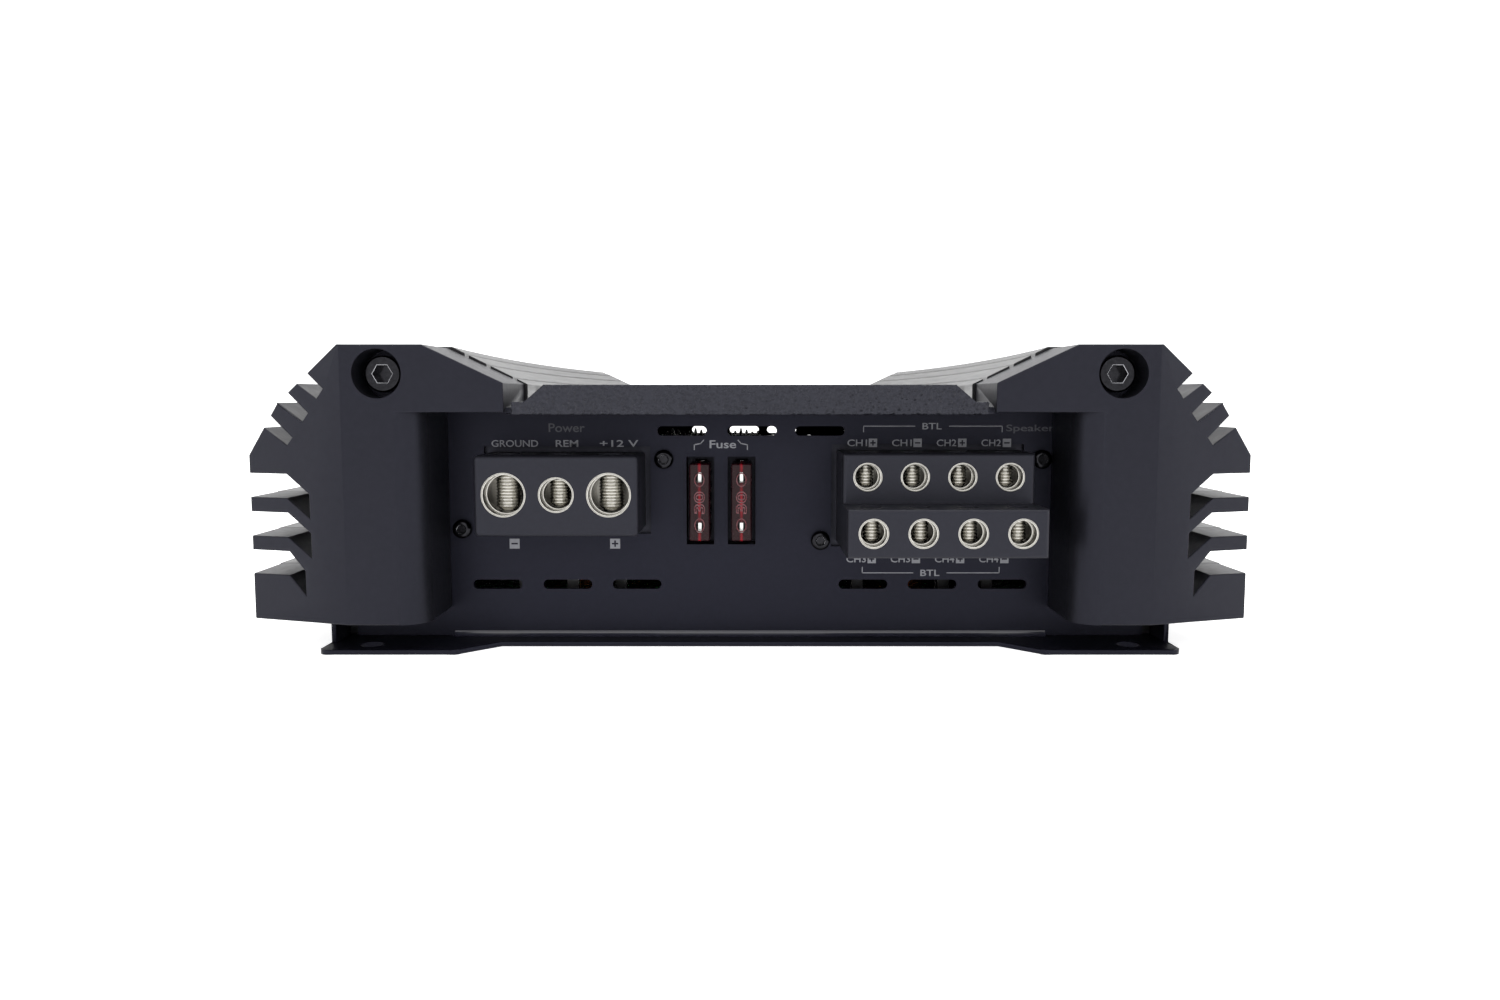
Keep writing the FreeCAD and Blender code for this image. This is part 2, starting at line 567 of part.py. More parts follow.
def insert(x, face_y, z, bore_r, length, screw_r, tail_gap):
    """A metal insert: round nose, square body, blind wire bore, screw hole and a tail to the board."""
    body_r = bore_r + INSERT_WALL
    nose = rod_y(x, face_y, z, body_r, NOSE + 1)
    body = box(x - body_r, x + body_r, face_y + NOSE, face_y + length, z - body_r, insert_top(z, bore_r))
    tail_y = FLANGE_BACK_Y + tail_gap
    link = box(x - 1.5, x + 1.5, face_y + length - 1, tail_y + TAIL_THICK, z - 1.5, z + 1.5)
    tail = box(x - 1.5, x + 1.5, tail_y, tail_y + TAIL_THICK, BOARD_TOP_Z, z)
    shape = fuse([nose, body, link, tail])
    guide = rod_y(x, face_y - 1, z, bore_r, 1 + GUIDE_LENGTH)
    chamber = rod_y(x, face_y, z, bore_r - CHAMBER_STEP, length - 2.0)
    screw_hole = rod_z(x, face_y + screw_depth(bore_r), z, screw_r + CLEAR, 20)
    return cut(shape, [guide, chamber, screw_hole])


def power_terminals():
    """The housing and its three inserts."""
    gap = 0.05
    left, right = POWER_CENTRE_X - POWER_HALF, POWER_CENTRE_X + POWER_HALF
    housing = box(left, right, POWER_FACE_Y, FLANGE_BACK_Y, POWER_Z[0], POWER_Z[1])
    housing = soften(housing, 1.0, lambda edge: along(edge, "y") or edge.CenterOfMass.y < POWER_FACE_Y + 0.1)
    flange = box(left - 11.0, right + 8.0, -PANEL_BACK_Y + gap, FLANGE_BACK_Y, POWER_Z[0] - 4, POWER_Z[1] + 3)
    bosses = [rod_y(x, FLANGE_BACK_Y - 1, z, 2.6, 6) for x, z in POWER_BLOCK_SCREWS]
    housing = fuse([housing, flange] + bosses)
    tools, inserts = [], []
    for x, bore_r in zip(POWER_XS, POWER_BORES):
        screw_r = 3.0 if bore_r == POWER_BORE_R else 2.5
        tools += insert_tools(x, POWER_FACE_Y, WIRE_ROW_Z, bore_r, 15.0, screw_r, POWER_Z[1])
        tools.append(box(x - 1.5, x + 1.5, POWER_FACE_Y + 14, FLANGE_BACK_Y + 1, WIRE_ROW_Z - 1.5, WIRE_ROW_Z + 1.5))
        inserts.append(insert(x, POWER_FACE_Y, WIRE_ROW_Z, bore_r, 15.0, screw_r, LOW_TAIL_GAP))
    tools += [rod_y(x, -PANEL_BACK_Y - 1, z, 1.5 + CLEAR, 8) for x, z in POWER_BLOCK_SCREWS]
    return cut(housing, tools), inserts


def speaker_terminals():
    """The stepped housing and its eight inserts, upper row first."""
    gap = 0.05
    left, right = SPEAKER_CENTRE_X - SPEAKER_HALF, SPEAKER_CENTRE_X + SPEAKER_HALF
    step = [(UPPER_FACE_Y, UPPER_TIER[1]), (UPPER_FACE_Y, LOWER_TIER[1]), (LOWER_FACE_Y, LOWER_TIER[1]),
            (LOWER_FACE_Y, LOWER_TIER[0]), (FLANGE_BACK_Y, LOWER_TIER[0]), (FLANGE_BACK_Y, UPPER_TIER[1])]
    corners = [Vector(left, y, z) for y, z in step]
    housing = Part.Face(Part.makePolygon(corners + corners[:1])).extrude(Vector(right - left, 0, 0))
    housing = soften(housing, 0.9, lambda edge: (along(edge, "z") and edge.CenterOfMass.y < UPPER_FACE_Y + 0.1)
                     or (along(edge, "x") and edge.CenterOfMass.y < UPPER_FACE_Y + 0.1
                         and not (edge.CenterOfMass.y > UPPER_FACE_Y - 0.1
                                  and edge.CenterOfMass.z < LOWER_TIER[1] + 0.1)))
    flange = box(left - 8.5, right + 10.5, -PANEL_BACK_Y + gap, FLANGE_BACK_Y, LOWER_TIER[0] - 4, UPPER_TIER[1] + 3)
    bosses = [rod_y(x, FLANGE_BACK_Y - 1, z, 3.4, 6) for x, z in SPEAKER_BLOCK_SCREWS]
    housing = fuse([housing, flange] + bosses)
    tools, inserts = [], []
    rows = ((UPPER_FACE_Y, UPPER_ROW_Z, UPPER_TIER[1], HIGH_TAIL_GAP),
            (LOWER_FACE_Y, LOWER_ROW_Z, LOWER_TIER[1], LOW_TAIL_GAP))
    for face_y, row_z, top_z, tail_gap in rows:
        for x in SPEAKER_XS:
            tools += insert_tools(x, face_y, row_z, SPEAKER_BORE_R, 14.0, 2.0, top_z)
            tools.append(box(x - 1.5, x + 1.5, face_y + 13, FLANGE_BACK_Y + 1, row_z - 1.5, row_z + 1.5))
            inserts.append(insert(x, face_y, row_z, SPEAKER_BORE_R, 14.0, 2.0, tail_gap))
    tools += [rod_y(x, -PANEL_BACK_Y - 1, z, 1.5 + CLEAR, 8) for x, z in SPEAKER_BLOCK_SCREWS]
    return cut(housing, tools), inserts


def block_screws(places):
    return [pan_screw_y(x, -PANEL_FACE_Y, z, 2.4, 1.5, 7.0) for x, z in places]


def tip_height(axis_z, bore_r, screw_r):
    """Where a flat tip comes to rest on the round floor of a bore."""
    tip = screw_r * SET_SCREW_TIP
    return axis_z - math.sqrt((bore_r - CHAMBER_STEP) ** 2 - tip ** 2) + TIP_GAP


def power_set_screws():
    screws = []
    for x, bore_r in zip(POWER_XS, POWER_BORES):
        radius = 3.0 if bore_r == POWER_BORE_R else 2.5
        floor_z = tip_height(WIRE_ROW_Z, bore_r, radius)
        screws.append(set_screw(x, POWER_FACE_Y + POWER_SCREW_DEPTH, floor_z, radius,
                                bore_r * 2 + 2.0, SET_SCREW_PITCH))
    return screws


def speaker_set_screws():
    screws = []
    for face_y, row_z in ((UPPER_FACE_Y, UPPER_ROW_Z), (LOWER_FACE_Y, LOWER_ROW_Z)):
        for x in SPEAKER_XS:
            floor_z = tip_height(row_z, SPEAKER_BORE_R, 2.0)
            screws.append(set_screw(x, face_y + SPEAKER_SCREW_DEPTH, floor_z, 2.0,
                                    SPEAKER_BORE_R * 2 + 0.9, SET_SCREW_PITCH))
    return screws


# ---- fuses ----
def fuse_face_y():
    return -PANEL_FACE_Y - FUSE_PROUD


def fuse_holder():
    """One moulding with a socket behind each window of the panel."""
    half_x, half_z = FUSE_WINDOW
    front, back = -PANEL_BACK_Y + 0.05, -PANEL_BACK_Y + 19.0
    body = box(FUSE_XS[0] - half_x - 1.6, FUSE_XS[1] + half_x + 1.6, front, back, FUSE_Z - half_z - 1.6,
               FUSE_Z + half_z + 1.6)
    leg = box(FUSE_XS[0], FUSE_XS[1], front + 4, back - 2, BOARD_TOP_Z, FUSE_Z - half_z)
    body = fuse([body, leg])
    fuse_back = fuse_face_y() + FUSE_BODY_DEPTH
    tools = []
    for x in FUSE_XS:
        tools.append(box(x - half_x, x + half_x, front - 1, fuse_back + 0.3, FUSE_Z - half_z, FUSE_Z + half_z))
        for side in (-1, 1):
            z = FUSE_Z + side * BLADE_PITCH / 2
            tools.append(box(x - 1.4, x + 1.4, fuse_back, back - 1.0, z - 3.0, z + 3.0))
    return cut(body, tools)


def fuse_clips():
    """Spring contacts: two leaves each side of every blade."""
    clips = []
    start = fuse_face_y() + FUSE_BODY_DEPTH + 1.2
    for x in FUSE_XS:
        for side in (-1, 1):
            z = FUSE_Z + side * BLADE_PITCH / 2
            back = start + BLADE_LENGTH + 0.8
            leaves = [box(x + lean * 0.75 - 0.25, x + lean * 0.75 + 0.25, start, back, z - 2.2, z + 2.2)
                      for lean in (-1, 1)]
            bridge = box(x - 1.0, x + 1.0, back - 0.5, back, z - 2.2, z + 2.2)
            clips.append(fuse(leaves + [bridge]))
    return clips


def fuse_body(x):
    """The translucent body, hollow at its two test windows."""
    front = fuse_face_y()
    head = box(x - FUSE_HALF_THICK, x + FUSE_HALF_THICK, front, front + FUSE_BODY_DEPTH,
               FUSE_Z - FUSE_HALF_HEIGHT, FUSE_Z + FUSE_HALF_HEIGHT)
    head = soften(head, 0.5, lambda edge: along(edge, "y") or edge.CenterOfMass.y < front + 0.1)
    tools = []
    for side in (-1, 1):
        z = FUSE_Z + side * 6.2
        window = rod_y(x, front - 1, z, 1.25, 3.4)
        tools.append(window)
    tools += [blade_outline(x, 0.05)]
    return cut(head, tools)


def blade_outline(x, grow):
    """The stamped metal of a fuse: two blades, two risers and the bridge between them."""
    front = fuse_face_y() + 2.0
    back = fuse_face_y() + FUSE_BODY_DEPTH + BLADE_LENGTH
    half = BLADE_THICK / 2 + grow
    legs = []
    for side in (-1, 1):
        inner = FUSE_Z + side * (BLADE_PITCH / 2 - BLADE_WIDTH / 2)
        outer = FUSE_Z + side * (BLADE_PITCH / 2 + BLADE_WIDTH / 2 - 0.6)
        low, high = min(inner, outer) - grow, max(inner, outer) + grow
        legs.append(box(x - half, x + half, front - grow, back, low, high))
    bridge = box(x - half, x + half, front + 4 - grow, front + 6 + grow,
                 FUSE_Z - BLADE_PITCH / 2, FUSE_Z + BLADE_PITCH / 2)
    return fuse(legs + [bridge])


# ---- board and what stands on it ----
def circuit_board():
    board = box(-BOARD_HALF_X, BOARD_HALF_X, -BOARD_HALF_Y, BOARD_HALF_Y, BOARD_Z, BOARD_TOP_Z)
    return cut(board, [rod_z(x, y, BOARD_Z - 1, 1.7, 4) for x in STANDOFF_XS for y in STANDOFF_YS])


def standoffs():
    pillars = []
    for x in STANDOFF_XS:
        for y in STANDOFF_YS:
            pillar = rod_z(x, y, BASE_THICK, 3.0, BOARD_Z - BASE_THICK)
            pillars.append(cut(pillar, [rod_z(x, y, 0, 1.5 + CLEAR, 12)]))
    return pillars


def board_screws():
    """One screw from below and one from above into each standoff."""
    screws = []
    for x in STANDOFF_XS:
        for y in STANDOFF_YS:
            screws.append(countersunk_screw(x, y, 3.4))
            head = rod_z(x, y, BOARD_TOP_Z, 2.7, 1.8)
            screws.append(head.fuse(rod_z(x, y, BOARD_TOP_Z - 5.0, 1.5, 5.0)).removeSplitter())
    return screws


TOROIDS = [(-48.0, -78.0, 21.0, 10.0, 18.0), (46.0, -92.0, 13.0, 6.5, 11.0)]  # x, y, outer r, hole r, height


def toroid_cores():
    cores = []
    for x, y, outer, hole, height in TOROIDS:
        wall = 1.6
        ring = rod_z(x, y, BOARD_TOP_Z + 0.5 + wall, outer - wall, height - 2 * wall)
        cores.append(cut(ring, [rod_z(x, y, 0, hole + wall, 60)]))
    return cores


def toroid_windings():
    windings = []
    for x, y, outer, hole, height in TOROIDS:
        wall = 1.6
        ring = cut(rod_z(x, y, BOARD_TOP_Z + 0.5, outer, height), [rod_z(x, y, 0, hole, 60)])
        ring = ring.makeFillet(1.4, [edge for edge in ring.Edges if edge.Curve.TypeId == "Part::GeomCircle"])
        core = cut(rod_z(x, y, BOARD_TOP_Z + 0.5 + wall, outer - wall, height - 2 * wall),
                   [rod_z(x, y, 0, hole + wall, 60)])
        windings.append(ring.cut(core))
    return windings


def bulk_capacitors():
    cans = []
    for x in (-52.0, -30.0, -8.0, 14.0, 36.0):
        can = rod_z(x, -30.0, BOARD_TOP_Z, 8.0, 35.0)
        cans.append(can.makeFillet(1.0, [edge for edge in can.Edges if edge.CenterOfMass.z > BOARD_TOP_Z + 30
                                         and edge.Curve.TypeId == "Part::GeomCircle"]))
    return cans


TRANSISTOR_YS = [-98.0 + k * 28.0 for k in range(8)]
PAD_THICK = 0.3
TRANSISTOR_THICK = 4.4
BAR_THICK = 4.0


def power_transistors():
    """Eight packages along each side wall, each with three leads down to the board."""
    parts = []
    for y in TRANSISTOR_YS:
        back = INNER_X - PAD_THICK
        body = box(back - TRANSISTOR_THICK, back, y - 5.0, y + 5.0, 17.0, 32.0)
        leads = [box(back - 2.9, back - 2.3, y + k * 2.54 - 0.4, y + k * 2.54 + 0.4, BOARD_TOP_Z, 17.5)
                 for k in (-1, 0, 1)]
        parts.append(fuse([body] + leads))
    return both_sides(parts)


def thermal_pads():
    return both_sides([box(INNER_X - PAD_THICK, INNER_X, y - 6.0, y + 6.0, 16.0, 33.0) for y in TRANSISTOR_YS])


def clamp_screw_places():
    return [(y, 24.5) for y in (-112.0, -56.0, 0.0, 56.0, 112.0)]


def clamp_screw_holes():
    return both_sides([Part.makeCylinder(1.5 + CLEAR, 9, Vector(INNER_X - 1, y, z), Vector(1, 0, 0))
                       for y, z in clamp_screw_places()])


def clamp_bars():
    face = INNER_X - PAD_THICK - TRANSISTOR_THICK
    bar = box(face - BAR_THICK, face, -118.0, 118.0, 20.0, 29.0)
    holes = [Part.makeCylinder(1.7, 9, Vector(face - 7, y, z), Vector(1, 0, 0)) for y, z in clamp_screw_places()]
    return both_sides([cut(bar, holes)])


def clamp_screws():
    face = INNER_X - PAD_THICK - TRANSISTOR_THICK - BAR_THICK
    screws = []
    for y, z in clamp_screw_places():
        head = Part.makeCylinder(2.75, 2.0, Vector(face - 2.0, y, z), Vector(1, 0, 0))
        shank = Part.makeCylinder(1.5, 16.0, Vector(face, y, z), Vector(1, 0, 0))
        screws.append(head.fuse(shank).removeSplitter())
    return both_sides(screws)


def output_inductors():
    coils = []
    for x in (-45.0, -15.0, 15.0, 45.0):
        coil = cut(rod_z(x, 40.0, BOARD_TOP_Z, 9.0, 14.0), [rod_z(x, 40.0, BOARD_TOP_Z - 1, 3.0, 16.0)])
        coils.append(coil)
    return coils


DRIVER_TOP_Z = 43.6
LUG_COUNT = 25
LUG_PITCH = 2.54
LUG_FIRST_X = -57.4
LUG_HEIGHTS = [1.6, 2.7, 2.1, 1.2]


def driver_board():
    """A small board that stands on edge on the main board."""
    return box(-60.0, 60.0, 76.0, 77.6, BOARD_TOP_Z, DRIVER_TOP_Z)


def driver_header():
    """A strip along the driver board's top edge, with a row of tapered solder lugs of uneven height."""
    strip_top = DRIVER_TOP_Z + 1.0
    strip = box(LUG_FIRST_X - 1.5, LUG_FIRST_X + (LUG_COUNT - 1) * LUG_PITCH + 1.5, 75.8, 77.8, DRIVER_TOP_Z, strip_top)
    lugs = []
    for k in range(LUG_COUNT):
        x = LUG_FIRST_X + k * LUG_PITCH
        tip = strip_top + LUG_HEIGHTS[k % len(LUG_HEIGHTS)]
        lugs.append(prism_y([(x - 0.95, strip_top - 0.2), (x + 0.95, strip_top - 0.2), (x + 0.3, tip), (x - 0.3, tip)],
                            76.4, 77.2))
    return fuse([strip] + lugs)


# ---- signal end, modelled facing -Y and turned to the rear ----
JACK_SCREW = (42.0, 28.5)


def jack_housing():
    face = -PANEL_BACK_Y + 0.05
    body = box(JACK_XS[0] - 8, JACK_XS[-1] + 8, face, face + 12, BOARD_TOP_Z, JACK_ZS[-1] + 6)
    places = [(x, z) for x in JACK_XS for z in JACK_ZS]
    tip_y = -PANEL_FACE_Y - JACK_REACH
    core_r = JACK_ROOT_R - JACK_WALL
    collars = [rod_y(x, -PANEL_FACE_Y - JACK_COLLAR, z, JACK_R + 1.0, 3) for x, z in places]
    cores = [rod_y(x, tip_y + 0.8, z, core_r, JACK_REACH) for x, z in places]
    tools = [cut(rod_y(x, tip_y, z, JACK_ROOT_R, JACK_REACH + 6), [rod_y(x, tip_y, z, core_r, JACK_REACH + 6)])
             for x, z in places]
    tools += [rod_y(x, tip_y, z, 1.6, JACK_REACH + 5) for x, z in places]
    tools.append(rod_y(JACK_SCREW[0], -PANEL_BACK_Y - 1, JACK_SCREW[1], 1.5 + CLEAR, 9))
    return cut(fuse([body] + collars + cores), tools)


def jack_shells():
    """The outer contact of each jack: a thin tube, a little slimmer inside the housing."""
    tip_y = -PANEL_FACE_Y - JACK_REACH
    bare = JACK_REACH - JACK_COLLAR
    shells = []
    for x in JACK_XS:
        for z in JACK_ZS:
            tube = rod_y(x, tip_y, z, JACK_R, bare).fuse(rod_y(x, tip_y + bare, z, JACK_ROOT_R, JACK_COLLAR + 6))
            shells.append(cut(tube, [rod_y(x, tip_y - 1, z, JACK_ROOT_R - JACK_WALL, JACK_REACH + 8)]))
    return shells


def jack_screw():
    return pan_screw_y(JACK_SCREW[0], -PANEL_FACE_Y, JACK_SCREW[1], 2.4, 1.5, 8.0)


def control_pots():
    face = -PANEL_BACK_Y + 0.05
    return [cut(fuse([box(x - 5, x + 5, face, face + 8, KNOB_Z - 6, KNOB_Z + 5),
                      box(x - 4, x + 4, face + 6.4, face + 8, BOARD_TOP_Z, KNOB_Z)]),
                [rod_y(x, face - 1, KNOB_Z, 3.0 + CLEAR, 6)]) for x in KNOB_XS]


def knob(x):
    """A recessed trim knob with a fluted rim, a screwdriver slot and a shaft into its pot."""
    front = -PANEL_FACE_Y - KNOB_REACH
    body = rod_y(x, front, KNOB_Z, KNOB_R, KNOB_REACH + PANEL_THICK - 0.3)
    body = soften(body, 0.5, lambda edge: edge.CenterOfMass.y < front + 0.1 and edge.Length > 10)
    shaft = rod_y(x, front + 3, KNOB_Z, 3.0, KNOB_REACH + 2.5)
    flutes = [rod_y(x + (KNOB_R + 0.25) * math.cos(a), front - 1, KNOB_Z + (KNOB_R + 0.25) * math.sin(a), 0.55, 4.6)
              for a in [2 * math.pi * k / 16 for k in range(16)]]
    slot = box(x - 0.6, x + 0.6, front - 1, front + 1.4, KNOB_Z - 3.2, KNOB_Z + 3.2)
    pointer = box(x - 0.3, x + 0.3, front - 1, front + 0.4, KNOB_Z + 3.2, KNOB_Z + KNOB_R + 1)
    return cut(fuse([body, shaft]), flutes + [slot, pointer])


def switch_bodies():
    face = -PANEL_BACK_Y + 0.05
    bodies = []
    for x in SWITCH_XS:
        can = box(x - 6.5, x + 6.5, face, face + 6, BOARD_TOP_Z, SWITCH_Z + 3.5)
        room = box(x - 4.6, x + 4.6, face - 1, face + 3.2, SWITCH_Z - 1.6, SWITCH_Z + 1.6)
        bodies.append(cut(can, [room]))
    return bodies


def switch_lever(x):
    """A ribbed slide lever, drawn at the left end of its travel."""
    rest = x - SWITCH_TRAVEL
    front = -PANEL_FACE_Y - 1.6
    lever = box(rest - 1.7, rest + 1.7, front, -PANEL_BACK_Y + 3.0, SWITCH_Z - 1.3, SWITCH_Z + 1.3)
    ribs = [box(rest + shift - 0.25, rest + shift + 0.25, front - 1, front + 0.4, SWITCH_Z - 2, SWITCH_Z + 2)
            for shift in (-1.0, 0.0, 1.0)]
    return cut(lever, ribs)


def status_leds():
    lenses = []
    for x in LED_XS:
        stem = rod_y(x, -PANEL_FACE_Y - 0.2, LED_Z, 1.5, 6.0)
        dome = Part.makeSphere(1.5, Vector(x, -PANEL_FACE_Y - 0.2, LED_Z))
        leads = box(x - 0.8, x + 0.8, -PANEL_FACE_Y + 3.5, -PANEL_FACE_Y + 4.3, BOARD_TOP_Z, LED_Z)
        lenses.append(fuse([stem, dome, leads]))
    return lenses


def main():
    os.makedirs("parts", exist_ok=True)
    cap = front_end_cap()
    screws = [cap_screw(-CAP_SCREW_X), cap_screw(CAP_SCREW_X)]
    save("heatsink", [heatsink()])
    save("front_end_cap", [cap])
    save("rear_end_cap", [mirror_y(cap)])
    save("front_cap_screws", screws)
    save("rear_cap_screws", [turn_to_rear(screw) for screw in screws])
    save("top_plate", [top_plate()])
    save("top_plate_screws", plate_screws())
    save("base_tray", [base_tray()])
    save("base_screws", base_screws())
    save("front_panel", [front_panel()])
    save("rear_panel", [turn_to_rear(rear_panel())])
    save("panel_screws", panel_screws())

    power_housing, power_inserts = power_terminals()
    speaker_housing, speaker_inserts = speaker_terminals()
    save("power_terminal_block", [power_housing])
    save("power_terminal_inserts", power_inserts)
    save("power_block_screws", block_screws(POWER_BLOCK_SCREWS))
    save("speaker_terminal_block", [speaker_housing])
    save("speaker_terminal_inserts", speaker_inserts)
    save("speaker_block_screws", block_screws(SPEAKER_BLOCK_SCREWS))
    for name, screw in zip(("ground", "remote", "positive"), power_set_screws()):
        save(name + "_set_screw", [screw])
    for number, screw in enumerate(speaker_set_screws(), start=1):
        save("speaker_set_screw_" + str(number), [screw])

    save("fuse_holder", [fuse_holder()])
    save("fuse_clips", fuse_clips())
    for number, x in enumerate(FUSE_XS, start=1):
        save("fuse_" + str(number) + "_body", [fuse_body(x)])
        save("fuse_" + str(number) + "_blades", [blade_outline(x, 0)])

    save("circuit_board", [circuit_board()])
    save("board_standoffs", standoffs())
    save("board_screws", board_screws())
    save("toroid_cores", toroid_cores())
    save("toroid_windings", toroid_windings())
    save("bulk_capacitors", bulk_capacitors())
    save("power_transistors", power_transistors())
    save("thermal_pads", thermal_pads())
    save("clamp_bars", clamp_bars())
    save("clamp_screws", clamp_screws())
    save("output_inductors", output_inductors())
    save("driver_board", [driver_board()])
    save("driver_header", [driver_header()])

    save("signal_jack_housing", [turn_to_rear(jack_housing())])
    save("signal_jack_screw", [turn_to_rear(jack_screw())])
    save("signal_jack_shells", [turn_to_rear(shell) for shell in jack_shells()])
    save("control_pots", [turn_to_rear(pot) for pot in control_pots()])
    for number, x in enumerate(KNOB_XS, start=1):
        save("control_knob_" + str(number), [turn_to_rear(knob(x))])
    save("switch_bodies", [turn_to_rear(body) for body in switch_bodies()])
    for number, x in enumerate(SWITCH_XS, start=1):
        save("switch_lever_" + str(number), [turn_to_rear(switch_lever(x))])
    save("status_leds", [turn_to_rear(lens) for lens in status_leds()])


main()
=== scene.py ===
# %% [markdown]
# # A four-channel car amplifier
# The object is a finned aluminium amplifier, seen from the end that carries
# its power and speaker terminals. Its solid parts come from a CAD model, so
# this lesson is about everything that CAD leaves out: soft edges, finishes,
# printed legends, and light. All lengths are in metres, as in Blender.

# %% Load the frame
import json
import math

import bmesh
import bpy
from mathutils import Matrix, Vector

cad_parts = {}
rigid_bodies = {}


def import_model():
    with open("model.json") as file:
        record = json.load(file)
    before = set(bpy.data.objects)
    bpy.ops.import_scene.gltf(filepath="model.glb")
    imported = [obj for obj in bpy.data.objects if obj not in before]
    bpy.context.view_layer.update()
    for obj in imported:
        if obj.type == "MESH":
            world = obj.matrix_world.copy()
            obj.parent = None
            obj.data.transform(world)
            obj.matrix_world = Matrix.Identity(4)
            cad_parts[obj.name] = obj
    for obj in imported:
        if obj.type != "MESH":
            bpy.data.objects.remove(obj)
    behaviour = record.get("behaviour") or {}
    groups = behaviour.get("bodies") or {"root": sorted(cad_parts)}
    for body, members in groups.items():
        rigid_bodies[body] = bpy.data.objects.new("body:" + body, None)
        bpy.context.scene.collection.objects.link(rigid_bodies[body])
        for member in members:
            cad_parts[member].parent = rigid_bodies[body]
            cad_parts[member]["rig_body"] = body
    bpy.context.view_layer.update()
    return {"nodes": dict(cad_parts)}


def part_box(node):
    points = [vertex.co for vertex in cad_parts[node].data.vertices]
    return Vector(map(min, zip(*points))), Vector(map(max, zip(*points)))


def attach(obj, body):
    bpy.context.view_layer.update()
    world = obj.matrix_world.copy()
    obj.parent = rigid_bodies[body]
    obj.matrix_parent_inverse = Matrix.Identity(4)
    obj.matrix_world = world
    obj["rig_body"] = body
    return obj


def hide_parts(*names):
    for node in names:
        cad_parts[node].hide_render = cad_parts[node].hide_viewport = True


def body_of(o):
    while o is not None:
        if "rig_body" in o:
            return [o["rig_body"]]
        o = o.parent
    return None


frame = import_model()
nodes = frame["nodes"]
MM = 0.001

# %% [markdown]
# ## The camera
# The view is the one an installer has: close to the terminal end and just
# below the top of the case. A short lens near the object makes the terminal
# blocks large against the case behind them, as they look in the hand. The
# camera stands 250 mm in front of the end cap and looks slightly down.

# %% Camera
CAMERA_DISTANCE = 250 * MM
CAMERA_HEIGHT = 61.2 * MM
CAMERA_TILT = 5.37
CAMERA_LENS = 26.3

scene = bpy.context.scene
scene.view_settings.view_transform = "Standard"
camera = bpy.data.objects.new("camera", bpy.data.cameras.new("camera"))
camera.data.lens = CAMERA_LENS
camera.data.clip_start = MM
scene.collection.objects.link(camera)
scene.camera = camera
cap_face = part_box("front_end_cap")[0][1]
camera.location = (0, cap_face - CAMERA_DISTANCE, CAMERA_HEIGHT)
camera.rotation_euler = (math.radians(90 - CAMERA_TILT), 0, 0)
print("camera at", tuple(round(v, 3) for v in camera.location))

# %% [markdown]
# ## One helper for meshes, one for shader nodes
# Most pieces below are either a mesh made from points and faces, or a
# material made from nodes. Two small functions keep that short. Colours are
# written the way a paint chart gives them, as sRGB hex, and one function
# turns them into the linear values that the renderer works in.

# %% Helpers
def new_object(name, mesh):
    """Puts a mesh into the scene under a plain name."""
    made = bpy.data.objects.new(name, mesh)
    scene.collection.objects.link(made)
    return made


def linear(hex_colour):
    """An sRGB hex colour as linear red, green, blue and alpha."""
    parts = [int(hex_colour[i:i + 2], 16) / 255 for i in (1, 3, 5)]
    return [p / 12.92 if p <= 0.04045 else ((p + 0.055) / 1.055) ** 2.4
            for p in parts] + [1.0]


def add(tree, kind, sockets=None, **settings):
    """Adds a node. A socket takes a plain value or another node's output."""
    made = tree.nodes.new(kind)
    for key, value in settings.items():
        setattr(made, key, value)
    for key, value in (sockets or {}).items():
        if isinstance(value, bpy.types.NodeSocket):
            tree.links.new(value, made.inputs[key])
        else:
            made.inputs[key].default_value = value
    return made


print("white is", linear("#ffffff"), "mid grey is",
      round(linear("#808080")[0], 3))

# %% [markdown]
# ## A finish whose colour, gloss and relief wander together
# Real surfaces are never one flat colour. Cast, sprayed and moulded skins
# all have a grain: where it stands proud the colour and the gloss shift a
# little too. One function makes that common base from a real grain size and
# relief in millimetres. Materials that need more, such as machined rings,
# add it afterwards. Values that are the same all over stay on the shader.

# %% The common base of a finish
def finish(name, dark, light, roughness, grain, relief, stretch=(1, 1, 1),
           detail=2.0, **constants):
    """Two colours, lowest and highest roughness, grain and relief in mm."""
    material = bpy.data.materials.new(name)
    material.use_nodes = True
    tree = material.node_tree
    shader = tree.nodes["Principled BSDF"]
    shader.inputs["Emission Color"].default_value = linear(light)
    for key, value in constants.items():
        shader.inputs[key.replace("_", " ")].default_value = value
    place = add(tree, "ShaderNodeTexCoord").outputs["Object"]
    place = add(tree, "ShaderNodeMapping",
                {"Vector": place, "Scale": stretch}).outputs["Vector"]
    noise = add(tree, "ShaderNodeTexNoise",
                {"Vector": place, "Scale": 1 / (grain * MM), "Detail": detail})
    height = noise.outputs["Fac"]
    colour = add(tree, "ShaderNodeMix",
                 {0: height, 6: linear(dark), 7: linear(light)},
                 data_type="RGBA").outputs[2]
    gloss = add(tree, "ShaderNodeMapRange",
                {"Value": height, "To Min": roughness[0],
                 "To Max": roughness[1]}).outputs["Result"]
    bump = add(tree, "ShaderNodeBump",
               {"Height": height, "Distance": relief * MM}).outputs["Normal"]
    for socket, value in (("Base Color", colour), ("Roughness", gloss),
                          ("Normal", bump)):
        tree.links.new(value, shader.inputs[socket])
    material["place"] = place.node.name
    return material


def parts_of(material):
    """The tree, shader, place output and relief node of a finish."""
    tree = material.node_tree
    shader = tree.nodes["Principled BSDF"]
    return (tree, shader, tree.nodes[material["place"]].outputs["Vector"],
            shader.inputs["Normal"].links[0].from_node)


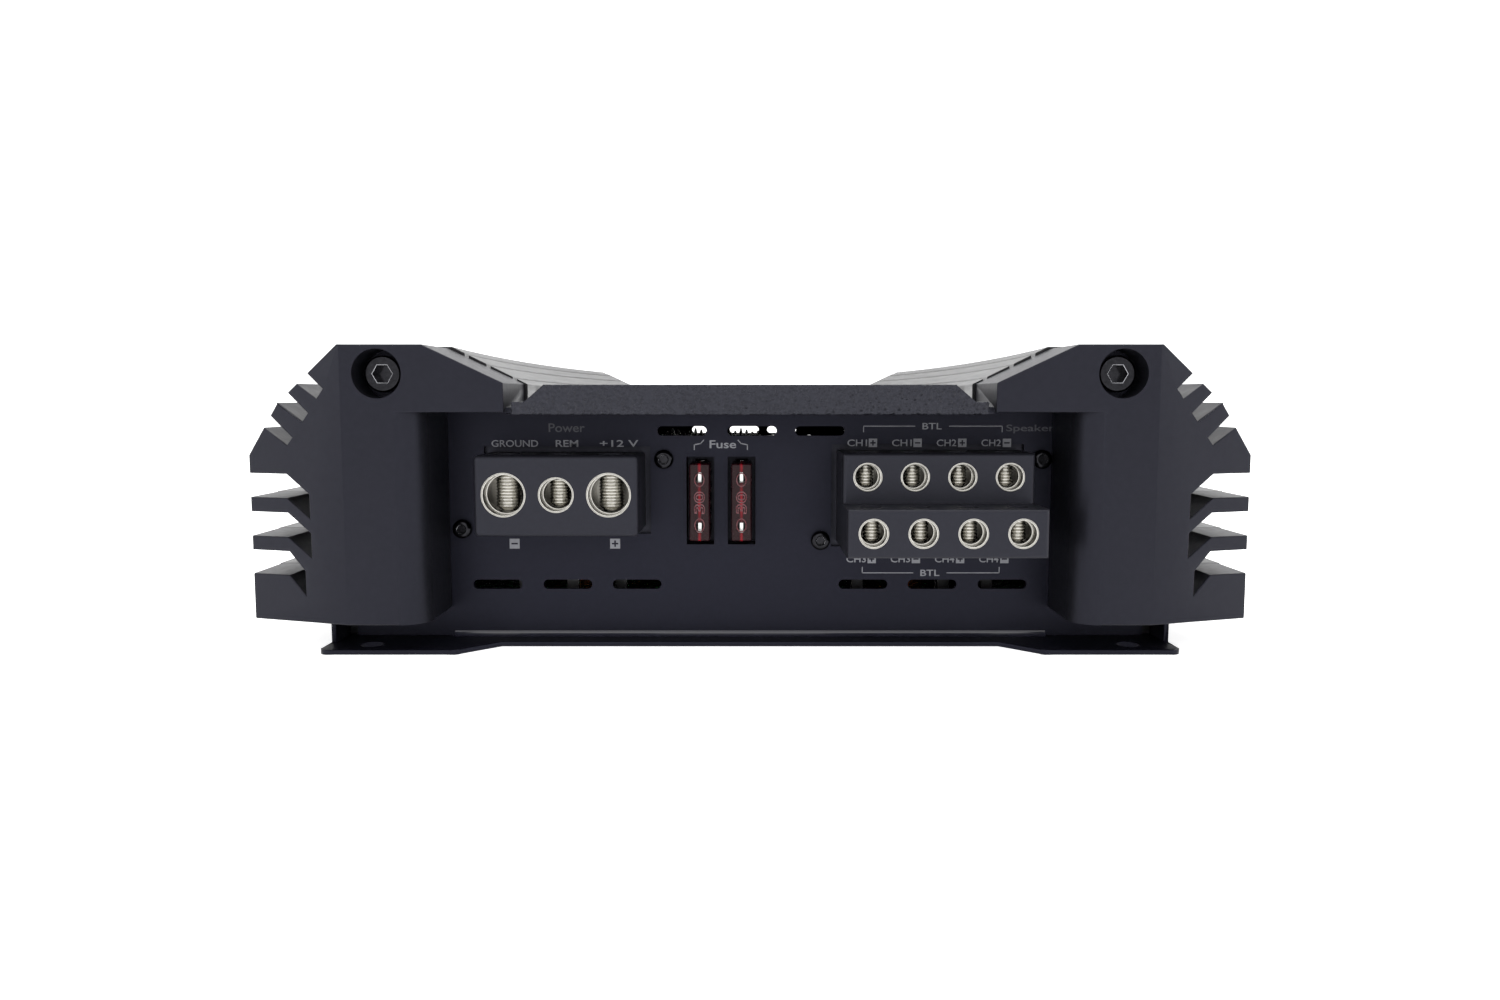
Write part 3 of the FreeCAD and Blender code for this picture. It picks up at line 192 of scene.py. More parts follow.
finishes = {}
print("ready for finishes")

# %% [markdown]
# ## Anodised aluminium, for the extruded heatsink
# The heatsink is pressed through a die as one long bar, cut off, and dyed
# black in an anodising bath. The die leaves fine drawn lines along the bar,
# so the noise is stretched along Y. The oxide is a hard glassy skin over
# metal: dark, but with strong highlights at a low angle.

# %% Anodised aluminium
finishes["black_anodised_aluminium"] = finish(
    "anodised_aluminium_extruded", "#0e0e10", "#17171a", (0.28, 0.4),
    grain=0.8, relief=0.002, stretch=(1, 0.02, 1), Metallic=0.1,
    Specular_IOR_Level=0.2)
print("made", finishes["black_anodised_aluminium"].name)

# %% [markdown]
# ## Satin paint, for the two cast end caps
# The caps are die-cast and sprayed with a satin black that reads slightly
# blue in daylight. Spray paint dries with a faint orange peel, a relief of
# a few microns over one or two millimetres, which breaks up highlights.

# %% Satin paint
finishes["satin_black_paint"] = finish(
    "satin_paint_sprayed", "#0d0d10", "#131317", (0.34, 0.44),
    grain=1.6, relief=0.012, Specular_IOR_Level=0.2,
    Specular_Tint=linear("#e0e2ff"))
print("made", finishes["satin_black_paint"].name)

# %% [markdown]
# ## Wrinkle paint, for the sheet on top
# Wrinkle enamel shrinks as it dries into tight ridges about half a
# millimetre apart. That is too fine to show here, so it is drawn at twice
# that. The ridges come from cell borders, not from soft noise, because real
# wrinkles are narrow valleys between rounded tops. The relief is drawn
# deeper too, so that each top still catches the light from a distance.

# %% Wrinkle paint
wrinkle = finish("wrinkle_enamel", "#0a0a0d", "#141418", (0.32, 0.46),
                 grain=1.1, relief=0.16, detail=4.0,
                 Specular_IOR_Level=0.35,
                 Specular_Tint=linear("#e8eaff"))
tree, shader, place, bump = parts_of(wrinkle)
WRINKLE_PITCH = 1.0
WRINKLE_RELIEF = 0.8
cells = add(tree, "ShaderNodeTexVoronoi",
            {"Vector": place, "Scale": 1 / (WRINKLE_PITCH * MM),
             "Smoothness": 0.5},
            feature="SMOOTH_F1")
ridges = add(tree, "ShaderNodeBump",
             {"Height": cells.outputs["Distance"],
              "Distance": WRINKLE_RELIEF * MM,
              "Normal": bump.outputs["Normal"]}, invert=True)
tree.links.new(ridges.outputs["Normal"], shader.inputs["Normal"])
finishes["wrinkle_black_paint"] = wrinkle
print("made", wrinkle.name)

# %% [markdown]
# ## Powder coat, for the steel panels and the tray
# Powder is sprayed dry and baked, so it flows into a thicker skin than
# paint, with a finer and flatter texture. Beside the caps it looks a touch
# bluer and deeper.

# %% Powder coat
finishes["black_powder_coat"] = finish(
    "powder_coat_baked", "#0a0a10", "#101018", (0.36, 0.48),
    grain=0.9, relief=0.010, Specular_IOR_Level=0.18,
    Specular_Tint=linear("#e0e2ff"))
print("made", finishes["black_powder_coat"].name)

# %% [markdown]
# ## Screws and contacts
# Black oxide is a thin stain on steel, kept from rusting by oil, so the
# screws are dark but shine like metal. Zinc is brighter and greyer. The
# terminal inserts are brass under bright nickel and keep fine turning rings
# inside their bores. Their flat front ends are rougher and a darker grey;
# the darker grey is a painted dark reflection.
# The set screws are plain steel, a little greyer than the nickel. Where two
# faces of a screw meet, the bevel is a brighter steel: a painted highlight.

# %% Metals
finishes["black_oxide_steel"] = finish(
    "black_oxide_on_steel", "#1a1a1c", "#2c2c2f", (0.12, 0.24),
    grain=0.7, relief=0.004, Metallic=1.0)
finishes["zinc_steel"] = finish(
    "zinc_plated_steel", "#9a9ca0", "#b9babb", (0.25, 0.4),
    grain=1.2, relief=0.006, Metallic=1.0)
finishes["set_screw_steel"] = finish(
    "bright_steel_turned", "#9a9893", "#cac8c2", (0.16, 0.3),
    grain=0.6, relief=0.010, Metallic=1.0)
finishes["tin_contact"] = finish(
    "tin_plate", "#bfc0be", "#dcdcda", (0.2, 0.32),
    grain=1.0, relief=0.006, Metallic=1.0)
finishes["plain_aluminium"] = finish(
    "aluminium_bar_brushed", "#b4b6b9", "#d2d3d5", (0.28, 0.42),
    grain=0.6, relief=0.012, stretch=(1, 0.03, 1), Metallic=1.0)

nickel = finish("nickel_plated_brass", "#b6b4ae", "#dad8d3", (0.12, 0.24),
                grain=1.5, relief=0.004, Metallic=1.0)
tree, shader, place, bump = parts_of(nickel)
# Turning leaves rings about 0.2 mm apart. They are drawn coarser, to show.
# The wave node repeats after pi / 10, divided by its scale.
RING_RELIEF = 0.02
RING_PITCH = 1.0
rings = add(tree, "ShaderNodeTexWave",
            {"Vector": place, "Scale": math.pi / 10 / (RING_PITCH * MM),
             "Distortion": 0.4}, bands_direction="Y")
turned = add(tree, "ShaderNodeBump",
             {"Height": rings.outputs["Fac"], "Distance": RING_RELIEF * MM,
              "Normal": bump.outputs["Normal"]})
tree.links.new(turned.outputs["Normal"], shader.inputs["Normal"])
finishes["nickel_brass"] = nickel
# Rougher nickel for flat ends; its darker grey is a painted dark reflection.
finishes["nickel_faced"] = finish(
    "nickel_plated_brass_faced_off", "#75736e", "#94928c", (0.26, 0.38),
    grain=0.5, relief=0.01, Metallic=1.0)
# Bright steel for the bevels of screws: a painted highlight.
finishes["worn_edge"] = finish(
    "steel_rubbed_bright_at_edges", "#8a8b8f", "#b5b6ba", (0.14, 0.26),
    grain=0.8, relief=0.006, Metallic=1.0)
print("made", len(finishes), "finishes")

# %% [markdown]
# ## Moulded plastics
# Terminal blocks and jack housings are glass-filled nylon. The mould is
# spark-eroded, which leaves an even, fine, dull texture. The control parts
# are ABS, a little smoother. The fuse bodies are clear tinted polycarbonate,
# so light goes through them. The link inside is a redder line mixed into
# the colour, a painted glow. Both fuses share that line: X is wrapped by
# the distance between them, and the colour fades out from the middle of each.

# %% Plastics
finishes["black_nylon"] = finish(
    "nylon_glass_filled", "#0f0f13", "#17171c", (0.38, 0.5),
    grain=0.7, relief=0.02, detail=4.0, Specular_IOR_Level=0.25,
    Specular_Tint=linear("#e8eaff"))
finishes["control_body"] = finish(
    "phenolic_moulded", "#1b1b1d", "#252527", (0.45, 0.6),
    grain=0.8, relief=0.01)
finishes["knob_plastic"] = finish(
    "abs_moulded", "#161618", "#1e1e21", (0.3, 0.42),
    grain=0.8, relief=0.008)
finishes["fuse_plastic"] = finish(
    "polycarbonate_tinted", "#160407", "#22060c", (0.2, 0.32),
    grain=2.5, relief=0.006, Transmission_Weight=0.1, IOR=1.58,
    Specular_IOR_Level=0.08)
fuse = finishes["fuse_plastic"]
tree, shader, place, bump = parts_of(fuse)
low_1, high_1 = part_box("fuse_1_body")
low_2, high_2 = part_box("fuse_2_body")
apart = low_2[0] - low_1[0]
GLOW_HALF_WIDTH = 0.55
GLOW_HALF_HEIGHT = 6.5
axes = add(tree, "ShaderNodeSeparateXYZ", {"Vector": place})
glow = []
for axis, middle, reach in (
        ("X", (low_1[0] + high_1[0]) / 2, GLOW_HALF_WIDTH * MM),
        ("Z", (low_1[2] + high_1[2]) / 2, GLOW_HALF_HEIGHT * MM)):
    wrapped = add(tree, "ShaderNodeMath",
                  {0: axes.outputs[axis], 1: middle + apart / 2,
                   2: middle - apart / 2}, operation="WRAP")
    off = add(tree, "ShaderNodeMath", {0: wrapped.outputs[0], 1: middle},
              operation="SUBTRACT")
    size = add(tree, "ShaderNodeMath", {0: off.outputs[0]},
               operation="ABSOLUTE")
    glow.append(add(tree, "ShaderNodeMapRange",
                    {"Value": size.outputs[0], "From Max": reach,
                     "To Min": 1.0, "To Max": 0.0},
                    interpolation_type="SMOOTHSTEP").outputs["Result"])
# Painted glow: a brighter red mixed into the colour along each fuse link.
lit = add(tree, "ShaderNodeMath", {0: glow[0], 1: glow[1]},
          operation="MULTIPLY")
old = shader.inputs["Base Color"].links[0].from_socket
painted_glow = add(tree, "ShaderNodeMix",
           {0: lit.outputs[0], 6: old, 7: linear("#7c0b19")},
           data_type="RGBA")
tree.links.new(painted_glow.outputs[2], shader.inputs["Base Color"])
finishes["led_epoxy"] = finish(
    "epoxy_lens_water_clear", "#c9d6e6", "#e3ecf5", (0.06, 0.14),
    grain=2.0, relief=0.002, Transmission_Weight=0.6, IOR=1.53)
print("made", len(finishes), "finishes")

# %% [markdown]
# ## What is inside the case
# Little of the inside shows, but the vents let it be glimpsed, and a case
# that is empty looks wrong at once. The board is glass-epoxy under green
# solder mask, with copper tracks that raise it in lines. The chokes are
# enamelled copper wire on ferrite, the capacitors have a shrink sleeve.

# %% Inside parts
board = finish("solder_mask_on_glass_epoxy", "#0f3a26", "#15492f",
               (0.22, 0.34), grain=1.5, relief=0.006, Coat_Weight=0.3)
tree, shader, place, bump = parts_of(board)
TRACK_PITCH = 2.54
tracks = add(tree, "ShaderNodeTexBrick",
             {"Vector": place, "Scale": 1 / (TRACK_PITCH * MM),
              "Mortar Size": 0.12, "Color1": linear("#0f3a26"),
              "Color2": linear("#1a5637"), "Mortar": linear("#2c6b3f")})
tree.links.new(tracks.outputs["Color"], shader.inputs["Base Color"])
finishes["board_laminate"] = board
finishes["ferrite"] = finish(
    "ferrite_sintered", "#2d2d30", "#404044", (0.5, 0.7),
    grain=0.8, relief=0.02)
finishes["enamelled_copper"] = finish(
    "copper_wire_enamelled", "#8a4218", "#c0682c", (0.16, 0.3),
    grain=1.2, relief=0.03, stretch=(1, 0.2, 1), Metallic=0.9,
    Coat_Weight=0.4)
finishes["capacitor_can"] = finish(
    "pvc_shrink_sleeve", "#10131c", "#1a1f2c", (0.2, 0.34),
    grain=3.0, relief=0.02)
finishes["moulded_epoxy"] = finish(
    "epoxy_transfer_moulded", "#141415", "#1d1d1f", (0.5, 0.66),
    grain=0.5, relief=0.01)
finishes["silicone_pad"] = finish(
    "silicone_sheet_filled", "#a9adb2", "#c0c3c7", (0.7, 0.85),
    grain=1.0, relief=0.03)
print("made", len(finishes), "finishes")

# %% [markdown]
# ## Give every CAD part its finish
# The CAD parts arrive with a placeholder material named for their slot in
# the record. Each one is swapped for the finish of the same slot, which is
# all that a carried-over part needs: its mesh isn't touched. The phono
# shells end in a face that is cut flat, and get the rougher nickel whose
# darker grey is a painted dark reflection.

# %% Assign
for part in nodes.values():
    for holder in part.material_slots:
        holder.material = finishes[holder.material.name.split(".")[0]]
# The shells get the darker nickel, a painted dark reflection.
nodes["signal_jack_shells"].material_slots[0].material = \
    finishes["nickel_faced"]
print("parts with a finish:", len(nodes))

# %% [markdown]
# ## Soft edges
# No made edge is perfectly sharp. Castings have a radius, sheet metal is
# tumbled, paint builds up and rounds every corner, and it is this thin
# round that catches the light. The CAD solids have sharp edges, so each
# visible one is copied, its doubled points are welded, and a bevel modifier
# rounds its outer corners. Curved walls are made of small facets, so only
# long edges that turn by more than about thirty degrees are given any
# weight. On screws the bevel has a material of its own, a brighter steel
# that is a painted highlight.

# %% Rounded copies
CREASE = math.radians(17)
CORNER = math.radians(28)
FOLDED = math.radians(150)
LONG_ENOUGH = 3         # shortest edge that is rounded, in radii
ROUND_PARTS = 1.4       # the same, for parts with short edges
FINE_EDGE = 0.12


def rounded(name, radius_mm, shortest=LONG_ENOUGH):
    """A copy of a CAD part with its corners rounded, standing for it."""
    source = nodes[name]
    work = bmesh.new()
    work.from_mesh(source.data)
    bmesh.ops.remove_doubles(work, verts=work.verts, dist=1e-6)
    weight = work.edges.layers.float.new("bevel_weight_edge")
    for face in work.faces:
        face.smooth = True
    for edge in work.edges:
        angle = edge.calc_face_angle(0)
        outer = (edge.is_convex and CORNER < angle < FOLDED
                 and edge.calc_length() > shortest * radius_mm * MM)
        edge[weight] = float(outer)
        edge.smooth = outer or angle < CREASE
    mesh = bpy.data.meshes.new(name + "_soft")
    work.to_mesh(mesh)
    work.free()
    for holder in source.material_slots:
        mesh.materials.append(holder.material)
    piece = new_object(name + "_soft", mesh)
    bevel = piece.modifiers.new("corner radius", "BEVEL")
    bevel.width = radius_mm * MM
    bevel.segments = 2
    bevel.limit_method = "WEIGHT"
    bevel.use_clamp_overlap = False
    level = piece.modifiers.new("flat faces stay flat", "WEIGHTED_NORMAL")
    level.keep_sharp = True
    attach(piece, body_of(source)[0])
    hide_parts(name)
    return piece


SOFT_EDGES = {
    "front_end_cap": (0.35, "satin_black_paint"),
    "rear_end_cap": (0.35, "satin_black_paint"),
    "heatsink": (0.2, "black_anodised_aluminium"),
    "top_plate": (0.3, "wrinkle_black_paint"),
    "base_tray": (0.25, "black_powder_coat"),
    "fuse_holder": (0.2, "black_nylon"),
    "signal_jack_housing": (0.3, "black_nylon"),
}
for name, (radius, slot_name) in SOFT_EDGES.items():
    rounded(name, radius)
for name in ("front_cap_screws", "rear_cap_screws", "panel_screws",
             "power_block_screws", "speaker_block_screws",
             "signal_jack_screw", "base_screws"):
    screw = rounded(name, FINE_EDGE, ROUND_PARTS)
    # Painted highlight on the screw bevels.
    screw.data.materials.append(finishes["worn_edge"])
    screw.modifiers[0].material = 1
print("rounded:", ", ".join(SOFT_EDGES))

# %% [markdown]
# ## Terminal inserts with tails in painted shade
# Each nickel insert ends in a flat tail that goes down to the circuit
# board. Inside the case the tails are coloured near-black, a painted
# shade, so nothing bright shows through the vents. A face behind or below
# the bores gets that painted shade, and a flat front end gets the rougher,
# darker nickel, whose darker grey is a painted dark reflection.

# %% Inserts
# Painted shade: near-black for the insert faces inside the case.
finishes["varnish"] = finish(
    "insulating_varnish_dipped", "#08080a", "#121214", (0.3, 0.45),
    grain=1.5, relief=0.01)
SHADE_LINE = 25 * MM
PANEL_CLEARANCE = 3 * MM
FACES_FRONT = -0.99
IN_SHADE, DARK_REFLECTION = 1, 2
for name in ("power_terminal_inserts", "speaker_terminal_inserts"):
    piece = rounded(name, FINE_EDGE, ROUND_PARTS)
    piece.data.materials.append(finishes["varnish"])
    piece.data.materials.append(finishes["nickel_faced"])
    piece.modifiers[0].material = 0
    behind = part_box("front_panel")[1][1] + PANEL_CLEARANCE
    for face in piece.data.polygons:
        in_shade = face.center.y > behind or face.center.z < SHADE_LINE
        flat_end = face.normal.y < FACES_FRONT
        # Painted shade inside the case; painted dark reflection on flat front
        # ends.
        face.material_index = IN_SHADE if in_shade else DARK_REFLECTION * flat_end
print("varnish below", round(SHADE_LINE / MM), "mm")

# %% [markdown]
# ## Printed legends
# The panels are screen printed in a grey ink that stands a few hundredths
# of a millimetre proud. A text curve gives clean letters, a small offset
# makes them bold, and each is turned into a mesh and joined to the rest of
# the print, so that the whole legend is one thin piece of ink. The wording
# is plain: what each terminal is for.

# %% Ink
finishes["ink"] = finish("screen_ink_cured", "#6c6d72", "#7d7e84",
                         (0.45, 0.6), grain=0.8, relief=0.004)
finishes["ink_dim"] = finish("screen_ink_thin", "#2b2c33", "#34353d",
                             (0.45, 0.6), grain=0.8, relief=0.004)
INK_THICKNESS = 0.03 * MM
BOLDER = 0.012


def letters(sheet, text, x, z, height_mm, width_mm, upward=False, tube=None):
    """Adds centred letters that face -Y to a bmesh, solid or as outlines.

    Outlines are tubes, whose radius is a part of the letters' height.
    """
    curve = bpy.data.curves.new("letters", "FONT")
    curve.body = text
    curve.offset = BOLDER
    curve.extrude = 0.5
    curve.resolution_u = 4
    if tube:
        curve.fill_mode, curve.extrude, curve.bevel_depth = "NONE", 0, tube
    shape = bpy.data.objects.new("letters", curve)
    scene.collection.objects.link(shape)
    bpy.context.view_layer.update()
    mesh = bpy.data.meshes.new_from_object(
        shape.evaluated_get(bpy.context.evaluated_depsgraph_get()))
    bpy.data.objects.remove(shape)
    spans = [[f(v.co[axis] for v in mesh.vertices) for f in (min, max)]
             for axis in (0, 1)]
    up = height_mm * MM / (spans[1][1] - spans[1][0])
    across = width_mm * MM / (spans[0][1] - spans[0][0])
    for vertex in mesh.vertices:
        right = (vertex.co.x - sum(spans[0]) / 2) * across
        above = (vertex.co.y - sum(spans[1]) / 2) * up
        if upward:
            right, above = -above, right
        back = (vertex.co.z * up if tube
                else -(vertex.co.z + 0.5) * INK_THICKNESS)
        vertex.co = (x + right, back, z + above)
    sheet.from_mesh(mesh)
    bpy.data.meshes.remove(mesh)


def bar(sheet, x0, x1, z0, z1):
    """Adds a thin upright block to a bmesh, its back in the XZ plane."""
    made = bmesh.ops.create_cube(sheet, size=1.0)["verts"]
    for vertex in made:
        vertex.co = (x0 + (vertex.co.x + 0.5) * (x1 - x0),
                     (vertex.co.y - 0.5) * INK_THICKNESS,
                     z0 + (vertex.co.z + 0.5) * (z1 - z0))
    return made


def stroke(sheet, points, line):
    """Adds a thin line of ink through points given as (x, z)."""
    for (x0, z0), (x1, z1) in zip(points, points[1:]):
        run = math.hypot(x1 - x0, z1 - z0)
        made = bar(sheet, -line / 2, run + line / 2, -line / 2, line / 2)
        turn = Matrix.Rotation(-math.atan2(z1 - z0, x1 - x0), 3, "Y")
        bmesh.ops.rotate(sheet, verts=made, cent=(0, 0, 0), matrix=turn)
        bmesh.ops.translate(sheet, verts=made, vec=(x0, 0, z0))


def print_on(name, sheet, face_y, ink, facing=-1, body="amplifier"):
    """Sets a sheet of ink down on a face that looks along -Y or +Y."""
    if facing > 0:
        bmesh.ops.rotate(sheet, verts=sheet.verts, cent=(0, 0, 0),
                         matrix=Matrix.Rotation(math.pi, 3, "Z"))
    bmesh.ops.translate(sheet, verts=sheet.verts, vec=(0, face_y, 0))
    mesh = bpy.data.meshes.new(name)
    sheet.to_mesh(mesh)
    sheet.free()
    mesh.materials.append(finishes[ink])
    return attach(new_object(name, mesh), body)


print("ink:", finishes["ink"].name)

# %% [markdown]
# ## Legends round the terminals
# Each word stands over its own hole, so its place comes from the screw that
# clamps the wire there. The speaker terminals are numbered by channel, with
# a small filled box for plus and minus, and brackets join the pairs that
# can be bridged.

# %% Front legends
SIGN_ARM = 0.32         # half a sign's width, as a part of its box
SIGN_LINE = 0.08        # half its line's width
LINE_WIDTH = 0.22 * MM
POWER_TITLE = (-45.5, 53.6)
POWER_WORD_Z = 49.7
POWER_SIGN_Z = 24.6
FUSE_TITLE_Z = 49.5
FUSE_BRACKET = [(6.6, 48.2), (6.6, 49.4), (5.0, 49.7), (4.3, 50.5)]
CHANNEL_ROWS = (49.85, 20.7)
BRIDGE_ROWS = ((54.0, -1.4), (17.2, 1.4))
BRIDGE_SPAN = (28.2, 62.6)
BRIDGE_GAP = (40.9, 49.5)
SPEAKER_TITLE = (69.6, 53.3)


def middle_x(node):
    low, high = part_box(node)
    return (low[0] + high[0]) / 2


def sign_box(sheet, dark, x, z, size, plus):
    """A filled box of ink, with a plus or minus on it in panel colour."""
    half, arm, thin = size / 2, size * SIGN_ARM, size * SIGN_LINE
    bar(sheet, x - half, x + half, z - half, z + half)
    bar(dark, x - arm, x + arm, z - thin, z + thin)
    if plus:
        bar(dark, x - thin, x + thin, z + thin, z + arm)
        bar(dark, x - thin, x + thin, z - arm, z - thin)


def bracket(sheet, x0, x1, z, drop, gap):
    """Two turned-down lines that join a row of words, open round its title."""
    stroke(sheet, [(x0, z + drop), (x0, z), (gap[0], z)], LINE_WIDTH)
    stroke(sheet, [(gap[1], z), (x1, z), (x1, z + drop)], LINE_WIDTH)


print_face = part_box("front_panel")[0][1]
bright, dim, signs = bmesh.new(), bmesh.new(), bmesh.new()

letters(dim, "Power", POWER_TITLE[0] * MM, POWER_TITLE[1] * MM, 2.2, 9.0)
for node, word, wide, shift in (("ground_set_screw", "GROUND", 11.6, -0.6),
                                ("remote_set_screw", "REM", 5.6, 0.0),
                                ("positive_set_screw", "+12 V", 9.6, 0.6)):
    letters(bright, word, middle_x(node) + shift * MM, POWER_WORD_Z * MM,
            1.7, wide)
OUTWARD = 1.02          # the signs stand a little outside their holes
for node, plus in (("ground_set_screw", False), ("positive_set_screw", True)):
    sign_box(bright, signs, middle_x(node) * OUTWARD, POWER_SIGN_Z * MM,
             2.5 * MM, plus)

fuse_middle = (middle_x("fuse_1_body") + middle_x("fuse_2_body")) / 2
letters(bright, "Fuse", fuse_middle + 0.5 * MM, FUSE_TITLE_Z * MM, 2.0, 6.6)
for side in (-1, 1):
    stroke(bright, [(fuse_middle + side * x * MM, z * MM)
                    for x, z in FUSE_BRACKET], 0.25 * MM)

CHANNEL_NAMES = "11223344"
for count, channel in enumerate(CHANNEL_NAMES):
    x = middle_x("speaker_set_screw_%d" % (count + 1))
    z = CHANNEL_ROWS[count // 4] * MM
    letters(bright, "CH" + channel, x - 0.9 * MM, z, 1.7, 4.9)
    sign_box(bright, signs, x + 3.0 * MM, z, 2.1 * MM, count % 2 == 0)
for z, drop in BRIDGE_ROWS:
    bracket(bright, BRIDGE_SPAN[0] * MM, BRIDGE_SPAN[1] * MM, z * MM,
            drop * MM, gap=[x * MM for x in BRIDGE_GAP])
    letters(bright, "BTL", sum(BRIDGE_GAP) / 2 * MM, z * MM, 1.6, 4.8)
letters(dim, "Speaker", SPEAKER_TITLE[0] * MM, SPEAKER_TITLE[1] * MM, 2.2,
        12.0)

print_on("legend_front", bright, print_face, "ink")
print_on("legend_front_headings", dim, print_face, "ink_dim")
print_on("legend_front_signs", signs, print_face - INK_THICKNESS * 0.5,
         "black_powder_coat")
print("printed round", len(CHANNEL_NAMES) + 3, "terminals")

# %% [markdown]
# ## Legends at the signal end
# The other end has phono jacks, four trim knobs with a dial of ticks each,
# and two slide switches. A dial's ticks stop short of a full turn, as the
# knob does, with a smaller word at each end of the travel. Everything is
# drawn as if it faced the reader and then turned half round.

# %% Rear legends
rear_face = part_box("rear_panel")[1][1]
back = bmesh.new()
DIAL_TICKS = 11
DIAL_SWEEP = math.radians(300)
TICK_RADII = (5.3, 5.8)
SWITCH_TRAVEL = 4 * MM
JACK_PITCH = 16 * MM
JACK_RADIUS = 4.15 * MM
LED_WORD_Z = 26.0 * MM
LED_SPACING = 7.0 * MM
for count, word in enumerate(("GAIN", "HPF", "LPF", "BASS")):
    low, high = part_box("control_knob_%d" % (count + 1))
    x, z = -(low[0] + high[0]) / 2, (low[2] + high[2]) / 2
    for tick in range(DIAL_TICKS):
        angle = DIAL_SWEEP * (tick / (DIAL_TICKS - 1) - 0.5)
        out_x, out_z = math.sin(angle), math.cos(angle)
        stroke(back, [(x + out_x * r * MM, z + out_z * r * MM)
                      for r in TICK_RADII], LINE_WIDTH)
    letters(back, word, x, z - 8.2 * MM, 1.5, 1.45 * len(word))
    for side, end_word in ((-1, "MIN"), (1, "MAX")):
        letters(back, end_word, x + side * 5.4 * MM, z - 6.0 * MM, 0.9, 2.0)
for count, ends in enumerate((("OFF", "HPF"), ("2CH", "4CH"))):
    low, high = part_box("switch_lever_%d" % (count + 1))
    x = -(low[0] + high[0]) / 2 + SWITCH_TRAVEL / 2
    z = (low[2] + high[2]) / 2
    for side, word in zip((-1, 1), ends):
        letters(back, word, x + side * 7.4 * MM, z, 1.3, 3.6)
jack_low, jack_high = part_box("signal_jack_shells")
columns = [-(jack_low[0] + JACK_RADIUS) - c * JACK_PITCH for c in range(3)]
for x, word in zip(columns, ("OUT", "IN 3/4", "IN 1/2")):
    letters(back, word, x, jack_low[2] - 2.2 * MM, 1.5, 1.35 * len(word))
for z, word in ((jack_high[2] - JACK_RADIUS, "L"),
                (jack_low[2] + JACK_RADIUS, "R")):
    letters(back, word, columns[0] + 7.6 * MM, z, 1.7, 1.2)
led_low, led_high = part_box("status_leds")
for side, word in ((-1, "ON"), (1, "PROT")):
    x = -(led_low[0] + led_high[0]) / 2 + side * LED_SPACING / 2
    letters(back, word, x, LED_WORD_Z, 1.2, 1.15 * len(word))
print_on("legend_rear", back, rear_face, "ink", facing=1)
print("rear legend at y", round(rear_face / MM, 1), "mm")

# %% [markdown]
# ## Marks moulded on the fuses
# A blade fuse carries its rating in raised digits on top, read along its
# length, and a raised ring round each test window. They are moulded in the
# same tinted plastic, and are coloured a lighter red than the body: a
# painted highlight on their edges. A ring is a small tube bent round an oval.

# %% Fuse marks
def oval_ring(sheet, x, z, half_x, half_z, tube):
    """Adds a closed tube round an oval in the XZ plane."""
    around, across = 28, 8
    grid = []
    for i in range(around):
        a = 2 * math.pi * i / around
        row = []
        for j in range(across):
            b = 2 * math.pi * j / across
            grow = tube * math.cos(b)
            row.append(sheet.verts.new((x + (half_x + grow) * math.cos(a),
                                        tube * math.sin(b),
                                        z + (half_z + grow) * math.sin(a))))
        grid.append(row)
    for i in range(around):
        for j in range(across):
            sheet.faces.new((grid[i][j], grid[i][(j + 1) % across],
                             grid[(i + 1) % around][(j + 1) % across],
                             grid[(i + 1) % around][j]))


# A lighter red than the fuse body: a painted highlight on the raised marks.
finishes["fuse_raised_highlight"] = finish(
    "polycarbonate_raised_edge", "#521820", "#6a242e", (0.12, 0.2),
    grain=1.0, relief=0.004, Transmission_Weight=0.2, IOR=1.58)
FUSE_RATING = "30"
WINDOW_OFFSET = 5.6
WINDOW_HALF = (1.15, 1.6)
RING_TUBE = 0.13
for fuse in ("fuse_1", "fuse_2"):
    low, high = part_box(fuse + "_body")
    x, z = (low[0] + high[0]) / 2, (low[2] + high[2]) / 2
    marks = bmesh.new()
    for end in (-1, 1):
        oval_ring(marks, x, z + end * WINDOW_OFFSET * MM,
                  WINDOW_HALF[0] * MM, WINDOW_HALF[1] * MM, RING_TUBE * MM)
    letters(marks, FUSE_RATING, x, z, 2.7, 5.6, upward=True, tube=0.028)
    print_on(fuse + "_marks", marks, low[1], "fuse_raised_highlight",
                     body=fuse)
print("fuse rating:", FUSE_RATING)

# %% [markdown]
# ## The bend along the panel's foot
# The end panel is folded where it meets the tray, and a fold in sheet steel
# is never square: its round inner corner is a quarter-round strip swept
# along X. The strip is glossier and lighter than the panel, so it shows as a
# narrow bright line under the dark panel; the lighter colour is a painted
# highlight.

